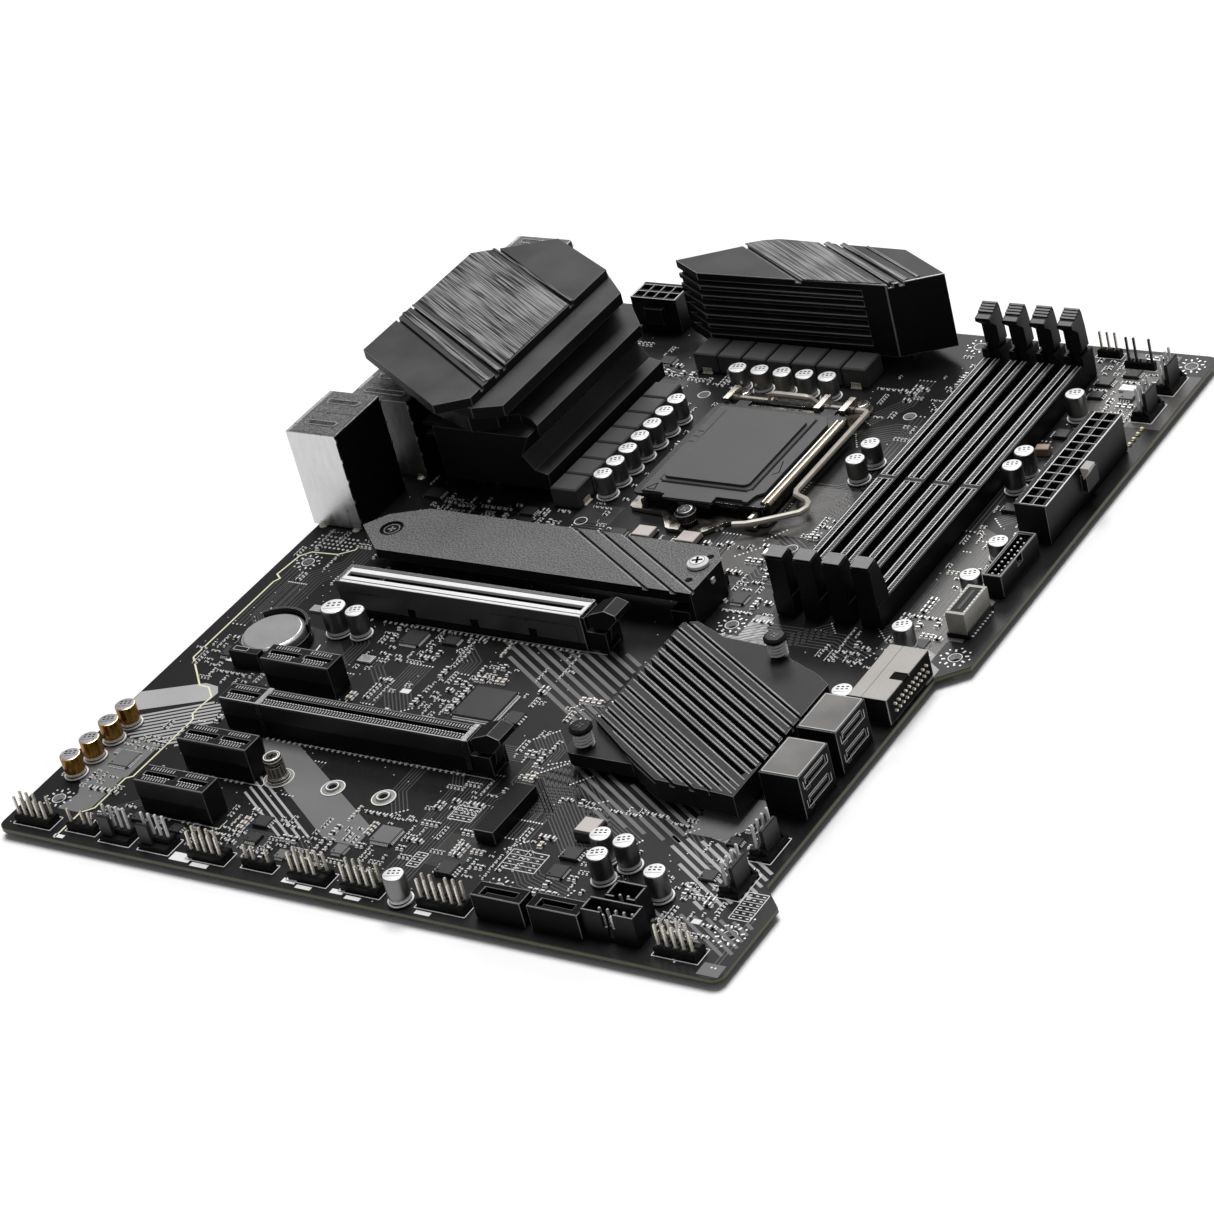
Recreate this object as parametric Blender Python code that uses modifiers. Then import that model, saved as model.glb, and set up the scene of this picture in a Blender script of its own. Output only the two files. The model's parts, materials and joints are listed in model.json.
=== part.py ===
"""ATX motherboard: printed circuit board with its socket, slots, heatsinks and connectors.

Dimensions are in millimetres in board coordinates: X from the I/O edge, Y from the bottom
edge, Z up from the component face of the board. The board_datum empty carries them into the
part's own frame: origin at the centre of the footprint, on the surface the board lies on.
"""
import math

import bmesh
import bpy
from mathutils import Matrix, Vector

MM = 0.001
GAP = 0.3                      # clearance between pieces that touch
BOARD_X = 243.84
BOARD_Y = 304.8
BOARD_THICK = 1.6
CORNER_R = 3.0
WAIST_X = 236.4                # the right edge steps in between these heights
WAIST_Y = (30.0, 37.0, 131.0, 138.0)
IO_OVERHANG = 1.5              # I/O connectors stand this far past the board's edge
TAIL = 2.0                     # pins and screw heads below the board
LOWEST = -BOARD_THICK - TAIL
MOUNT_X = (10.16, 165.1, 237.49)
MOUNT_Y = (16.51, 140.97, 298.45)
MOUNT_R = 2.0
PAD_R = (2.4, 4.2)             # plated ring round a mounting hole
PAD_RISE = 0.05

CPU = (125.0, 218.0)
COOLER_HALF = 37.5             # cooler holes on a 75 mm square
SOCKET_Y = 214.0
HINGE_Y = 246.5                # load plate's axis
PLATE_PIVOT_Z = 5.4
PLATE_Z = (5.0, 6.0)
ROD_R = 1.0
LEVER_PIVOT = (250.3, 3.6)     # Y and Z of the lever's axis
LEVER_X = 151.5
WIRE_R = 1.0
FRAME_TOP = 1.5

PCIE_X = 41.2
X16_LENGTH = 89.0
X1_LENGTH = 25.2
PCIE_WIDTH = 7.5
PCIE_HEIGHT = 11.2
X16_Y = {"upper": 123.5, "lower": 62.5}
X1_Y = (82.8, 42.2, 22.0)
PCIE_PIVOT = (134.5, 3.2)      # X and Z of a slot latch's axis

DIMM_X = 179.4
DIMM_PITCH = 9.3
DIMM_WIDTH = 6.6
DIMM_Y = (148.5, 288.6)
DIMM_RAIL_Z = 7.3
DIMM_TOWER_Z = 20.0
DIMM_KEY_Y = 212.0
DIMM_PIVOT = (285.6, 3.5)      # Y and Z of a memory latch's axis

IO_HS_TOP = 40.0
TOP_HS_TOP = 30.0
DIAGONAL = -0.6                # slope of the heatsinks' slanted grooves in plan

CHIPSET_TOP = 9.0
CHIPSET_SCREWS = {"left": (160.8, 70.8, 6.5), "right": (195.7, 118.9, 9.0)}

M2_HS_X = (30.6, 156.3)
M2_HS_Y = (137.0, 160.6)
M2_HS_Z = (8.6, 12.0)
M2_SCREWS = {"left": (41.4, 148.3), "right": (150.9, 150.8)}

BATTERY = (29.5, 98.8)
BATTERY_R = 10.0
BATTERY_Z = (2.4, 5.6)

PEG_R = 1.2                    # connectors' locating pegs, through the board
ATX_PEGS = ((231.5, 200.9), (231.5, 247.5))
SATA_PEG_Y = 6.9
X1_PEGS = ((45.0, 22.0), (62.6, 22.0))
AUDIO_PEGS = ((8.0, 164.0), (8.0, 181.0))
KEYBOARD_PEG = (8.0, 282.0)
PEGS = (*ATX_PEGS, (169.4, SATA_PEG_Y), (180.6, SATA_PEG_Y), (187.2, SATA_PEG_Y), (198.4, SATA_PEG_Y),
        *X1_PEGS, *AUDIO_PEGS, KEYBOARD_PEG)
SCREW_R = 1.5
HEATSINK_SCREWS = {"io_1": (46.0, 196.0), "io_2": (46.0, 250.0),
                   "top_1": (82.0, 290.0), "top_2": (146.0, 290.0)}
SOCKET_SCREWS = {"shoulder": (124.5, 184.4), "rear_left": (103.5, 255.0), "rear_right": (146.5, 255.0)}

DATUM = Vector(((IO_OVERHANG - BOARD_X) / 2, -BOARD_Y / 2, -LOWEST)) * MM

for old in list(bpy.data.objects):
    bpy.data.objects.remove(old, do_unlink=True)


def collection(name):
    made = bpy.data.collections.new(name)
    bpy.context.scene.collection.children.link(made)
    return made


PARTS = collection("motherboard")
CUTTERS = collection("cutters")
datum = bpy.data.objects.new("board_datum", None)
datum.location = DATUM
PARTS.objects.link(datum)


def material(name, color, roughness, metallic=0.0):
    made = bpy.data.materials.new(name)
    made.use_nodes = True
    shader = made.node_tree.nodes["Principled BSDF"]
    shader.inputs["Base Color"].default_value = (*color, 1.0)
    shader.inputs["Roughness"].default_value = roughness
    shader.inputs["Metallic"].default_value = metallic
    return made


LAMINATE = material("laminate", (0.020, 0.020, 0.022), 0.45)
BLACK = material("black_plastic", (0.014, 0.014, 0.015), 0.5)
GREY = material("grey_plastic", (0.20, 0.20, 0.21), 0.5)
ANODISED = material("anodised", (0.035, 0.036, 0.038), 0.42, 0.8)
STEEL = material("steel", (0.62, 0.60, 0.57), 0.28, 1.0)
GOLD = material("gilt", (0.75, 0.58, 0.30), 0.3, 1.0)


# ---- solids from primitives, in millimetres ----

def add_box(bm, x, y, z):
    """A box from three (low, high) pairs."""
    size = [high - low for low, high in (x, y, z)]
    middle = Vector([(low + high) / 2 for low, high in (x, y, z)])
    bmesh.ops.create_cube(bm, size=1.0, matrix=Matrix.Translation(middle) @ Matrix.Diagonal((*size, 1.0)))


def add_rod(bm, centre, radius, span, axis="Z", segments=16, top_radius=None):
    """A cylinder along an axis; centre is its place on the other two axes, in X, Y, Z order."""
    low, high = span
    middle = (low + high) / 2
    place = {"X": (middle, *centre), "Y": (centre[0], middle, centre[1]), "Z": (*centre, middle)}[axis]
    turn = {"X": Matrix.Rotation(math.pi / 2, 4, "Y"), "Y": Matrix.Rotation(-math.pi / 2, 4, "X"),
            "Z": Matrix.Identity(4)}[axis]
    bmesh.ops.create_cone(bm, cap_ends=True, segments=segments, radius1=radius,
                          radius2=radius if top_radius is None else top_radius,
                          depth=high - low, matrix=Matrix.Translation(place) @ turn)


def add_boxes(*boxes):
    bm = bmesh.new()
    for box in boxes:
        add_box(bm, *box)
    return bm


def add_rods(centres, radius, span, axis="Z", segments=16):
    bm = bmesh.new()
    for centre in centres:
        add_rod(bm, centre, radius, span, axis, segments)
    return bm


def add_extrusion(bm, outline, span, axis="Z"):
    """A flat outline drawn out along an axis. Outline is (x, y) for Z, (x, z) for Y, (y, z) for X."""
    low, high = span
    curve = bpy.data.curves.new("outline", "CURVE")
    curve.dimensions = "2D"
    curve.fill_mode = "BOTH"
    curve.extrude = (high - low) / 2
    spline = curve.splines.new("POLY")
    spline.points.add(len(outline) - 1)
    for point, (u, v) in zip(spline.points, outline):
        point.co = (u, v, 0.0, 1.0)
    spline.use_cyclic_u = True
    flat = bpy.data.objects.new("outline", curve)
    PARTS.objects.link(flat)
    mesh = bpy.data.meshes.new_from_object(flat.evaluated_get(bpy.context.evaluated_depsgraph_get()))
    bpy.data.objects.remove(flat)
    middle = (low + high) / 2
    turn = {"Z": Matrix.Translation((0, 0, middle)),
            "X": Matrix(((0, 0, 1, middle), (1, 0, 0, 0), (0, 1, 0, 0), (0, 0, 0, 1))),
            "Y": Matrix(((1, 0, 0, 0), (0, 0, -1, middle), (0, 1, 0, 0), (0, 0, 0, 1)))}[axis]
    mesh.transform(turn)
    before = set(bm.verts)
    bm.from_mesh(mesh)
    bpy.data.meshes.remove(mesh)
    bmesh.ops.remove_doubles(bm, verts=[v for v in bm.verts if v not in before], dist=0.0005)


def extrusion(outline, span, axis="Z"):
    bm = bmesh.new()
    add_extrusion(bm, outline, span, axis)
    return bm


def to_object(name, bm, origin, group):
    """Puts a solid in the scene with its object origin at a board point."""
    bmesh.ops.recalc_face_normals(bm, faces=bm.faces)
    mesh = bpy.data.meshes.new(name)
    bm.to_mesh(mesh)
    bm.free()
    mesh.transform(Matrix.Scale(MM, 4) @ Matrix.Translation(-Vector(origin)))
    made = bpy.data.objects.new(name, mesh)
    made.parent = datum
    made.location = Vector(origin) * MM
    group.objects.link(made)
    return made


def piece(name, bm, finish, origin=(0.0, 0.0, 0.0), smooth=False):
    made = to_object(name, bm, origin, PARTS)
    made.data.materials.append(finish)
    if smooth:
        made.data.shade_smooth()
        made.data.set_sharp_from_angle(angle=math.radians(35))
    return made


def boolean(target, bm, operation, self_cross=False):
    """Joins a solid to a piece, or cuts it out, with a Boolean whose operand stays in the scene."""
    name = f"{target.name}_{operation.lower()}_{len(target.modifiers)}"
    operand = to_object(name, bm, (0.0, 0.0, 0.0), CUTTERS)
    operand.hide_render = True
    operand.display_type = "WIRE"
    modifier = target.modifiers.new(name, "BOOLEAN")
    modifier.operation = operation
    modifier.solver = "EXACT"
    modifier.use_self = self_cross
    modifier.object = operand
    return target


def cut(target, bm, self_cross=False):
    return boolean(target, bm, "DIFFERENCE", self_cross)


def join(target, bm, self_cross=False):
    return boolean(target, bm, "UNION", self_cross)


def turned(name, profile, centre, finish, steps=16):
    """A turned piece from (radius, height) points that run down the outer side, axis to axis."""
    mesh = bpy.data.meshes.new(name)
    points = [(radius * MM, 0.0, height * MM) for radius, height in profile]
    mesh.from_pydata(points, [(i, i + 1) for i in range(len(points) - 1)], [])
    mesh.materials.append(finish)
    made = bpy.data.objects.new(name, mesh)
    made.parent = datum
    made.location = (centre[0] * MM, centre[1] * MM, 0.0)
    PARTS.objects.link(made)
    screw = made.modifiers.new("turn", "SCREW")
    screw.steps = steps
    screw.render_steps = steps
    screw.use_merge_vertices = True
    screw.merge_threshold = 0.00001
    return made


def wire(name, points, radius, finish, origin=(0.0, 0.0, 0.0), resolution=2):
    """A round wire along points, as a curve with filled caps."""
    curve = bpy.data.curves.new(name, "CURVE")
    curve.dimensions = "3D"
    curve.bevel_depth = radius * MM
    curve.bevel_resolution = resolution
    curve.use_fill_caps = True
    spline = curve.splines.new("POLY")
    spline.points.add(len(points) - 1)
    for point, place in zip(spline.points, points):
        point.co = (*((Vector(place) - Vector(origin)) * MM), 1.0)
    curve.materials.append(finish)
    made = bpy.data.objects.new(name, curve)
    made.parent = datum
    made.location = Vector(origin) * MM
    PARTS.objects.link(made)
    return made


def rounded(corners, radius, steps=4):
    """An outline with the given convex corners turned into arcs; a corner's own radius may follow it."""
    outline = []
    count = len(corners)
    for i, corner in enumerate(corners):
        r = corner[2] if len(corner) > 2 else radius
        here = Vector(corner[:2])
        back = (Vector(corners[i - 1][:2]) - here).normalized()
        ahead = (Vector(corners[(i + 1) % count][:2]) - here).normalized()
        if r == 0.0:
            outline.append(tuple(here))
            continue
        half = back.angle(ahead) / 2
        centre = here + (back + ahead).normalized() * (r / math.sin(half))
        start = here + back * (r / math.tan(half)) - centre
        end = here + ahead * (r / math.tan(half)) - centre
        sweep = start.angle_signed(end)
        for k in range(steps + 1):
            turn = Matrix.Rotation(-sweep * k / steps, 2)
            outline.append(tuple(centre + turn @ start))
    return outline


# ---- board ----

def screw_holes():
    """Clearance holes for screws and pegs that pass through the board: centre and radius."""
    holes = [((x, y), PEG_R + GAP) for x, y in PEGS]
    holes += [((x, y), SCREW_R + GAP) for x, y in HEATSINK_SCREWS.values()]
    holes += [((x, y), SCREW_R + GAP) for x, y, _ in CHIPSET_SCREWS.values()]
    holes += [((x, y), 2.0 + GAP) for x, y in SOCKET_SCREWS.values()]
    return holes


def make_board():
    low, high, back, end = WAIST_Y
    corners = [(0, 0), (BOARD_X, 0), (BOARD_X, low, 0), (WAIST_X, high, 0), (WAIST_X, back, 0),
               (BOARD_X, end, 0), (BOARD_X, BOARD_Y), (0, BOARD_Y)]
    board = piece("pcb", extrusion(rounded(corners, CORNER_R), (-BOARD_THICK, 0.0)), LAMINATE)
    mounts = [(x, y) for x in MOUNT_X for y in MOUNT_Y]
    pads = bmesh.new()
    for mount in mounts:
        add_rod(pads, mount, PAD_R[1], (-BOARD_THICK - PAD_RISE, -BOARD_THICK / 2), segments=20)
    join(board, pads)
    cooler = [(CPU[0] + i * COOLER_HALF, CPU[1] + j * COOLER_HALF) for i in (-1, 1) for j in (-1, 1)]
    cuts = add_rods(mounts + cooler, MOUNT_R, (-3.0, 1.0), segments=16)
    for centre, radius in screw_holes():
        add_rod(cuts, centre, radius, (-3.0, 1.0), segments=10)
    cut(board, cuts)


def screw(name, centre, shaft_r, head_r, top, head_z):
    """A screw from the back of the board: head below, shaft up to a height."""
    profile = [(0, top), (shaft_r, top), (shaft_r, head_z), (head_r, head_z), (head_r, LOWEST), (0, LOWEST)]
    turned(name, profile, centre, STEEL, 12)


# ---- processor socket ----

def make_socket():
    x, y = CPU[0], SOCKET_Y
    housing = piece("cpu_socket_housing",
                    add_boxes(((x - 21, x + 21), (y - 21, y + 21), (GAP, 4.2))), BLACK)
    cut(housing, add_boxes(((x - 19.2, x + 19.2), (y - 19.2, y + 19.2), (2.1, 6.0)),
                           ((x - 12.0, x - 6.0), (y - 23, y + 23), (3.0, 6.0)),
                           ((x + 6.0, x + 12.0), (y - 23, y + 23), (3.0, 6.0))), True)
    make_socket_frame(x, y)
    make_load_plate(x, y)
    make_socket_cover(x)
    make_load_lever(x)
    below = -BOARD_THICK
    profile = [(0, 6.6), (2.2, 6.6), (3.4, 5.8), (3.4, 3.2), (2.0, 3.0), (2.0, below), (0, below)]
    turned("socket_shoulder_screw", profile, SOCKET_SCREWS["shoulder"], STEEL, 14)
    for side in ("left", "right"):
        profile = [(0, 3.4), (1.9, 3.4), (2.5, 2.8), (2.5, FRAME_TOP + GAP), (1.4, FRAME_TOP + GAP),
                   (1.4, below), (0, below)]
        turned(f"socket_rear_screw_{side}", profile, SOCKET_SCREWS[f"rear_{side}"], STEEL, 14)
    make_backplate(x)


def make_socket_frame(x, y):
    """Ring round the socket, with the ears that carry the load plate's and the lever's axes."""
    ring = rounded([(x - 25, y - 25), (x - 12, y - 26, 0), (x - 6.5, 180.6), (x + 6.5, 180.6),
                    (x + 12, y - 26, 0), (x + 25, y - 25), (x + 25, y + 30), (x + 25, y + 43.3),
                    (x - 26, y + 43.3), (x - 25, y + 30, 0)], 2.0, 2)
    frame = piece("cpu_socket_frame", extrusion(ring, (GAP, FRAME_TOP)), STEEL)
    for offset in (-21.0, 12.0, 21.0):
        ear = ((x + offset - 1.0, x + offset + 1.0), (HINGE_Y - 2.4, LEVER_PIVOT[0] + 1.8), (0.9, 7.2))
        join(frame, add_boxes(ear))
    join(frame, add_boxes(((x + 18.0, x + 22.0), (186.6, 190.0), (GAP, FRAME_TOP)),
                          ((x + 20.0, x + 21.2), (186.6, 190.0), (0.9, 4.6))), True)
    holes = add_boxes(((x - 21.3, x + 21.3), (y - 21.3, y + 21.3), (0.0, 2.0)))
    add_rod(holes, (HINGE_Y, PLATE_PIVOT_Z), ROD_R + GAP, (x - 24, x + 24), "X", 12)
    add_rod(holes, LEVER_PIVOT, WIRE_R + GAP, (x - 24, x + 30), "X", 12)
    for key, centre in SOCKET_SCREWS.items():
        add_rod(holes, centre, (2.0 if key == "shoulder" else 1.4) + GAP, (0.0, 2.0), segments=12)
    cut(frame, holes, True)


def make_load_plate(x, y):
    """Windowed plate that presses the processor down, on a rod through the frame's ears."""
    low, high = PLATE_Z
    outline = rounded([(x - 23.5, y - 23.5), (x + 24, y - 23.5), (x + 24, y + 29), (x - 23.5, y + 29)],
                      2.0, 2)
    plate = piece("socket_load_plate", extrusion(outline, PLATE_Z), STEEL, (x, HINGE_Y, PLATE_PIVOT_Z))
    join(plate, add_boxes(((x - 5.5, x + 5.5), (188.3, 193.0), PLATE_Z),
                          ((x - 17.0, x - 12.5), (y + 28, HINGE_Y + 0.5), PLATE_Z),
                          ((x + 14.0, x + 18.5), (y + 28, HINGE_Y + 0.5), PLATE_Z),
                          ((x - 6.0, x + 7.0), (HINGE_Y - 0.8, HINGE_Y + 1.6), PLATE_Z)))
    join(plate, add_boxes(((x - 23.5, x - 22.1), (y - 20, y + 27), (2.2, high)),
                          ((x + 22.4, x + 24.0), (y - 21, y + 28), (2.2, high))))
    join(plate, add_rods([(HINGE_Y, PLATE_PIVOT_Z)], ROD_R, (x - 23.5, x + 23.5), "X", 12))
    window = rounded([(x - 16.5, y - 15.5), (x + 16.5, y - 15.5), (x + 16.5, y + 17), (x - 16.5, y + 17)],
                     2.5, 2)
    cut(plate, extrusion(window, (low - 1.0, high + 1.0)))


def make_socket_cover(x):
    """Cap over the contacts until a processor is fitted, with a lip to pull it off by."""
    base = PLATE_Z[1] + GAP
    flange = rounded([(x - 20, 190.5), (x + 6, 190.5, 0), (x + 6.6, 191.8, 0), (x + 15.5, 191.8),
                      (x + 17.5, 190.0), (x + 18.5, 195.0), (x + 20.5, 197.0), (x + 20.5, 236.0),
                      (x + 18.0, 240.0), (x - 20, 240.0)], 0.8, 2)
    cover = piece("socket_cover", extrusion(flange, (base, base + 0.8)), BLACK)
    block = rounded([(x - 16, 197.5, 2.0), (x + 14.5, 197.5, 2.0), (x + 14.5, 234.0, 0), (x + 11.5, 237.2, 0),
                     (x - 15.0, 237.2, 0)], 2.0, 3)
    join(cover, extrusion(block, (base + 0.5, base + 2.2)))
    join(cover, add_boxes(((x - 11, x + 6.5), (188.6, 191.0), (base, base + 0.8))))


def make_load_lever(x):
    """Bent wire: pivots and crank along X, arm down the side, a jog and the finger hook."""
    cy, cz = LEVER_PIVOT
    crank_y, crank_z = cy - 2.1, cz + 4.4
    arm = LEVER_X
    path = [(x - 24, cy, cz), (x - 9, cy, cz), (x - 6.5, crank_y + 0.4, crank_z - 0.6),
            (x - 5, crank_y, crank_z), (x + 6, crank_y, crank_z),
            (x + 7.4, crank_y + 0.4, crank_z - 0.6), (x + 9.6, cy, cz),
            (arm - 1.4, cy, cz), (arm - 0.4, cy - 0.5, cz), (arm, cy - 1.6, cz), (arm, 204.6, cz),
            (arm + 0.9, 202.6, cz), (arm + 5.6, 200.6, cz), (arm + 7.4, 199.0, cz), (arm + 8.1, 196.6, cz),
            (arm + 7.0, 193.8, cz), (arm - 1.8, 186.6, cz + 0.5), (arm - 5.8, 183.7, cz + 0.8),
            (arm - 9.4, 182.2, cz + 1.1)]
    wire("socket_load_lever", path, WIRE_R, STEEL, (x, cy, cz))


def make_backplate(x):
    outline = rounded([(x - 29, 236), (x - 11, 179), (x + 11, 179), (x + 29, 236), (x + 29, 261),
                       (x - 29, 261)], 3.0, 3)
    plate = piece("cpu_socket_backplate", extrusion(outline, (LOWEST, -BOARD_THICK - GAP)), STEEL)
    window = rounded([(x - 15, 230), (x - 7, 200), (x + 7, 200), (x + 15, 230), (x + 15, 244),
                      (x - 15, 244)], 3.0, 2)
    holes = extrusion(window, (-5.0, 0.0))
    cut(plate, holes)


# ---- heatsinks ----

def diagonal_bar(bm, through, width, z, reach=90.0):
    """A bar along the heatsinks' slanted direction, centred on a point in plan."""
    angle = math.atan(DIAGONAL)
    middle = Vector((*through, (z[0] + z[1]) / 2))
    place = Matrix.Translation(middle) @ Matrix.Rotation(angle, 4, "Z")
    bmesh.ops.create_cube(bm, size=1.0, matrix=place @ Matrix.Diagonal((reach, width, z[1] - z[0], 1.0)))


def make_io_heatsink():
    top = IO_HS_TOP
    crown = [(1.6, 201.5), (47.1, 175.2), (57.2, 181.5), (57.2, 261.0), (27.8, 277.6), (1.6, 264.0)]
    sink = piece("vrm_heatsink_io", extrusion(crown, (top - 3.4, top)), ANODISED)
    shoulder = [(24, 190), (57, 180.5), (66.8, 183.8), (66.8, 253.2), (57, 262), (24, 274)]
    join(sink, extrusion(shoulder, (33.0, 36.8)))
    join(sink, extrusion([(24, 196), (50, 186), (58, 190), (58, 262), (50, 270), (24, 274)], (24.0, 33.5)))
    skirt = [(54, 193), (62, 196), (67.5, 194), (71.8, 190.8), (71.8, 252.5), (62, 263), (54, 265)]
    join(sink, extrusion(skirt, (22.0, 26.0)))
    body = [(32.0, 4.0), (72.5, 4.0), (72.5, 9.5), (68.0, 10.5), (64.5, 15.5), (68.5, 22.5), (32.0, 22.5)]
    join(sink, extrusion(body, (189.0, 258.0), "Y"))
    fins = add_boxes(*[((24.0, 45.0), (194.0, 268.0), (z, z + 1.6)) for z in (14.5, 19.0)])
    join(sink, fins)
    marks = bmesh.new()
    for through_y, width in ((187.6, 1.1), (196.2, 1.6), (200.4, 1.1), (239.4, 1.6)):
        diagonal_bar(marks, (57.2, through_y), width, (top - 1.3, top + 1.0), 150.0)
    cut(sink, marks)
    bores = [HEATSINK_SCREWS["io_1"], HEATSINK_SCREWS["io_2"]]
    cut(sink, add_rods(bores, SCREW_R + GAP, (0.0, 9.0), segments=10))
    join(sink, standoffs(bores))


def standoffs(centres):
    """Feet that stand a heatsink off the board beside its screws."""
    bm = bmesh.new()
    for x, y in centres:
        add_box(bm, (x - 6.0, x - 2.0), (y - 4.0, y + 4.0), (GAP, 6.0))
    return bm


def make_top_heatsink():
    top = TOP_HS_TOP
    outline = [(65.6, 286.3), (77.6, 279.6), (146.1, 281.6), (162.0, 291.5), (141.5, 303.9), (94.0, 304.5)]
    sink = piece("vrm_heatsink_top", extrusion(outline, (4.0, top)), ANODISED)
    slots = bmesh.new()
    for k in range(6):
        z = 7.6 + 3.55 * k
        add_box(slots, (60.0, 137.0), (270.0, 287.0 - 0.35 * (5 - k)), (z, z + 1.9))
    cut(sink, slots)
    marks = bmesh.new()
    for x, width in ((116.8, 1.0), (146.1, 1.4), (152.1, 1.1)):
        y = 279.6 if x < 120 else 283.2
        diagonal_bar(marks, (x, y), width, (top - 1.2, top + 1.0), 120.0)
    cut(sink, marks)
    bores = [HEATSINK_SCREWS["top_1"], HEATSINK_SCREWS["top_2"]]
    cut(sink, add_rods(bores, SCREW_R + GAP, (0.0, 9.0), segments=10))
    join(sink, standoffs([(94.0, 296.0), (136.0, 296.0)]))


def make_chipset_heatsink():
    outline = [(158.8, 127.5), (163.0, 129.0), (175.0, 123.7), (190.0, 122.6), (211.0, 113.6), (216.2, 110.0),
               (216.2, 58.2), (210.2, 58.7), (190.4, 59.6), (181.0, 65.0), (158.8, 80.0)]
    sink = piece("chipset_heatsink", extrusion(outline, (2.2, CHIPSET_TOP)), ANODISED)
    lobe = rounded([(155.6, 84.0), (155.6, 66.8, 3.0), (179.4, 66.8, 0), (176.0, 84.0, 0)], 1.5, 3)
    join(sink, extrusion(lobe, (2.2, 6.5)))
    grooves = bmesh.new()
    normal = Vector((-DIAGONAL, 1.0)).normalized()
    start = Vector((187.5, 111.5))
    offsets = [0.0, 3.6] + [7.4 + 3.3 * k for k in range(6)] + [28.2 + 3.0 * k for k in range(7)]
    for k, offset in enumerate(offsets):
        through = start - normal * offset
        deep = 2 <= k < 8
        diagonal_bar(grooves, tuple(through), 1.5 if deep else 0.8, (4.6 if deep else 7.6, 12.0))
    cut(sink, grooves)
    holes = bmesh.new()
    for x, y, _ in CHIPSET_SCREWS.values():
        add_rod(holes, (x, y), SCREW_R + GAP, (0.0, 12.0), segments=12)
    cut(sink, holes)
    join(sink, add_boxes(((176.0, 200.0), (78.0, 100.0), (GAP, 3.0))))
    for side, (x, y, seat) in CHIPSET_SCREWS.items():
        head = seat + 7.2
        profile = [(0, head), (2.7, head), (3.4, head - 0.6), (3.4, head - 1.4), (2.6, head - 1.6),
                   (SCREW_R, head - 2.0), (SCREW_R, LOWEST + 1.2), (2.6, LOWEST + 1.0),
                   (2.6, LOWEST), (0, LOWEST)]
        turned(f"chipset_screw_{side}", profile, (x, y), STEEL, 14)
        turns = 4
        low = seat + GAP + 0.45
        rise = head - 1.6 - GAP - 0.5 - low
        steps = 10 * turns
        coil = [(x + 2.5 * math.cos(2 * math.pi * k / 10), y + 2.5 * math.sin(2 * math.pi * k / 10),
                 low + rise * k / steps) for k in range(steps + 1)]
        wire(f"chipset_spring_{side}", coil, 0.4, STEEL)


def make_m2():
    low_x, high_x = M2_HS_X
    low_y, high_y = M2_HS_Y
    outline = [(low_x, low_y + 11.0), (low_x + 12.5, low_y), (high_x, low_y), (high_x, high_y - 6.0),
               (high_x - 4.5, high_y), (low_x + 17.0, high_y), (low_x + 5.0, high_y - 5.6)]
    sink = piece("m2_heatsink", extrusion(outline, M2_HS_Z), ANODISED)
    (left_x, left_y), (right_x, right_y) = M2_SCREWS["left"], M2_SCREWS["right"]
    join(sink, add_boxes(((high_x - 1.4, high_x), (low_y, high_y - 6.0), (GAP, M2_HS_Z[0] + 0.5))))
    join(sink, add_rods([(left_x, left_y)], 3.4, (GAP, M2_HS_Z[0] + 0.5), segments=14))
    marks = bmesh.new()
    for k, x in enumerate((121.1, 130.5, 138.9)):
        diagonal_bar(marks, (x, (low_y + high_y) / 2), 1.0, (M2_HS_Z[1] - 1.0, 15.0), 60.0)
    cut(sink, marks)
    holes = add_rods([(left_x, left_y), (right_x, right_y)], 1.3 + GAP, (4.0, 15.0), segments=12)
    cut(sink, holes)
    cut(sink, add_rods([(left_x, left_y)], 3.1 + GAP, (M2_HS_Z[1] - 1.4, 15.0), segments=16))
    top = M2_HS_Z[1]
    turned("m2_heatsink_screw_left", [(0, top - 0.3), (3.1, top - 0.3), (3.1, top - 1.1), (1.3, top - 1.1),
                                      (1.3, 5.0), (0, 5.0)], (left_x, left_y), ANODISED, 16)
    turned("m2_heatsink_screw_right", [(0, top + 1.9), (2.4, top + 1.8), (3.3, top + 1.2), (3.3, top + GAP),
                                       (1.3, top + GAP), (1.3, 5.6), (0, 5.6)], (right_x, right_y), STEEL, 16)
    for name, x, y in (("upper", 147.0, 148.8), ("lower", 148.0, 43.0)):
        block = add_boxes(((x, x + 6.6), (y - 10.9, y + 10.9), (GAP, 4.4)))
        body = piece(f"m2_connector_{name}", block, BLACK)
        cut(body, add_boxes(((x - 1, x + 4.0), (y - 9.8, y + 4.2), (1.9, 3.0)),
                            ((x - 1, x + 4.0), (y + 5.4, y + 9.8), (1.9, 3.0))))
    turned("m2_standoff", [(0, 7.8), (1.9, 7.8), (2.8, 7.0), (2.8, 5.9), (1.5, 5.7), (1.5, 5.2), (2.6, 5.0),
                           (2.6, 1.4), (3.1, 1.2), (3.1, GAP), (0, GAP)], (72.2, 42.2), GOLD, 14)


# ---- expansion and memory slots ----

def slot_grooves(x, length, y, top, key=12.4):
    """Card groove in two runs, either side of the key."""
    return add_boxes(((x + 1.4, x + key), (y - 0.85, y + 0.85), (top - 7.6, top + 2)),
                     ((x + key + 1.8, x + length - 1.4), (y - 0.85, y + 0.85), (top - 7.6, top + 2)))


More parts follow.
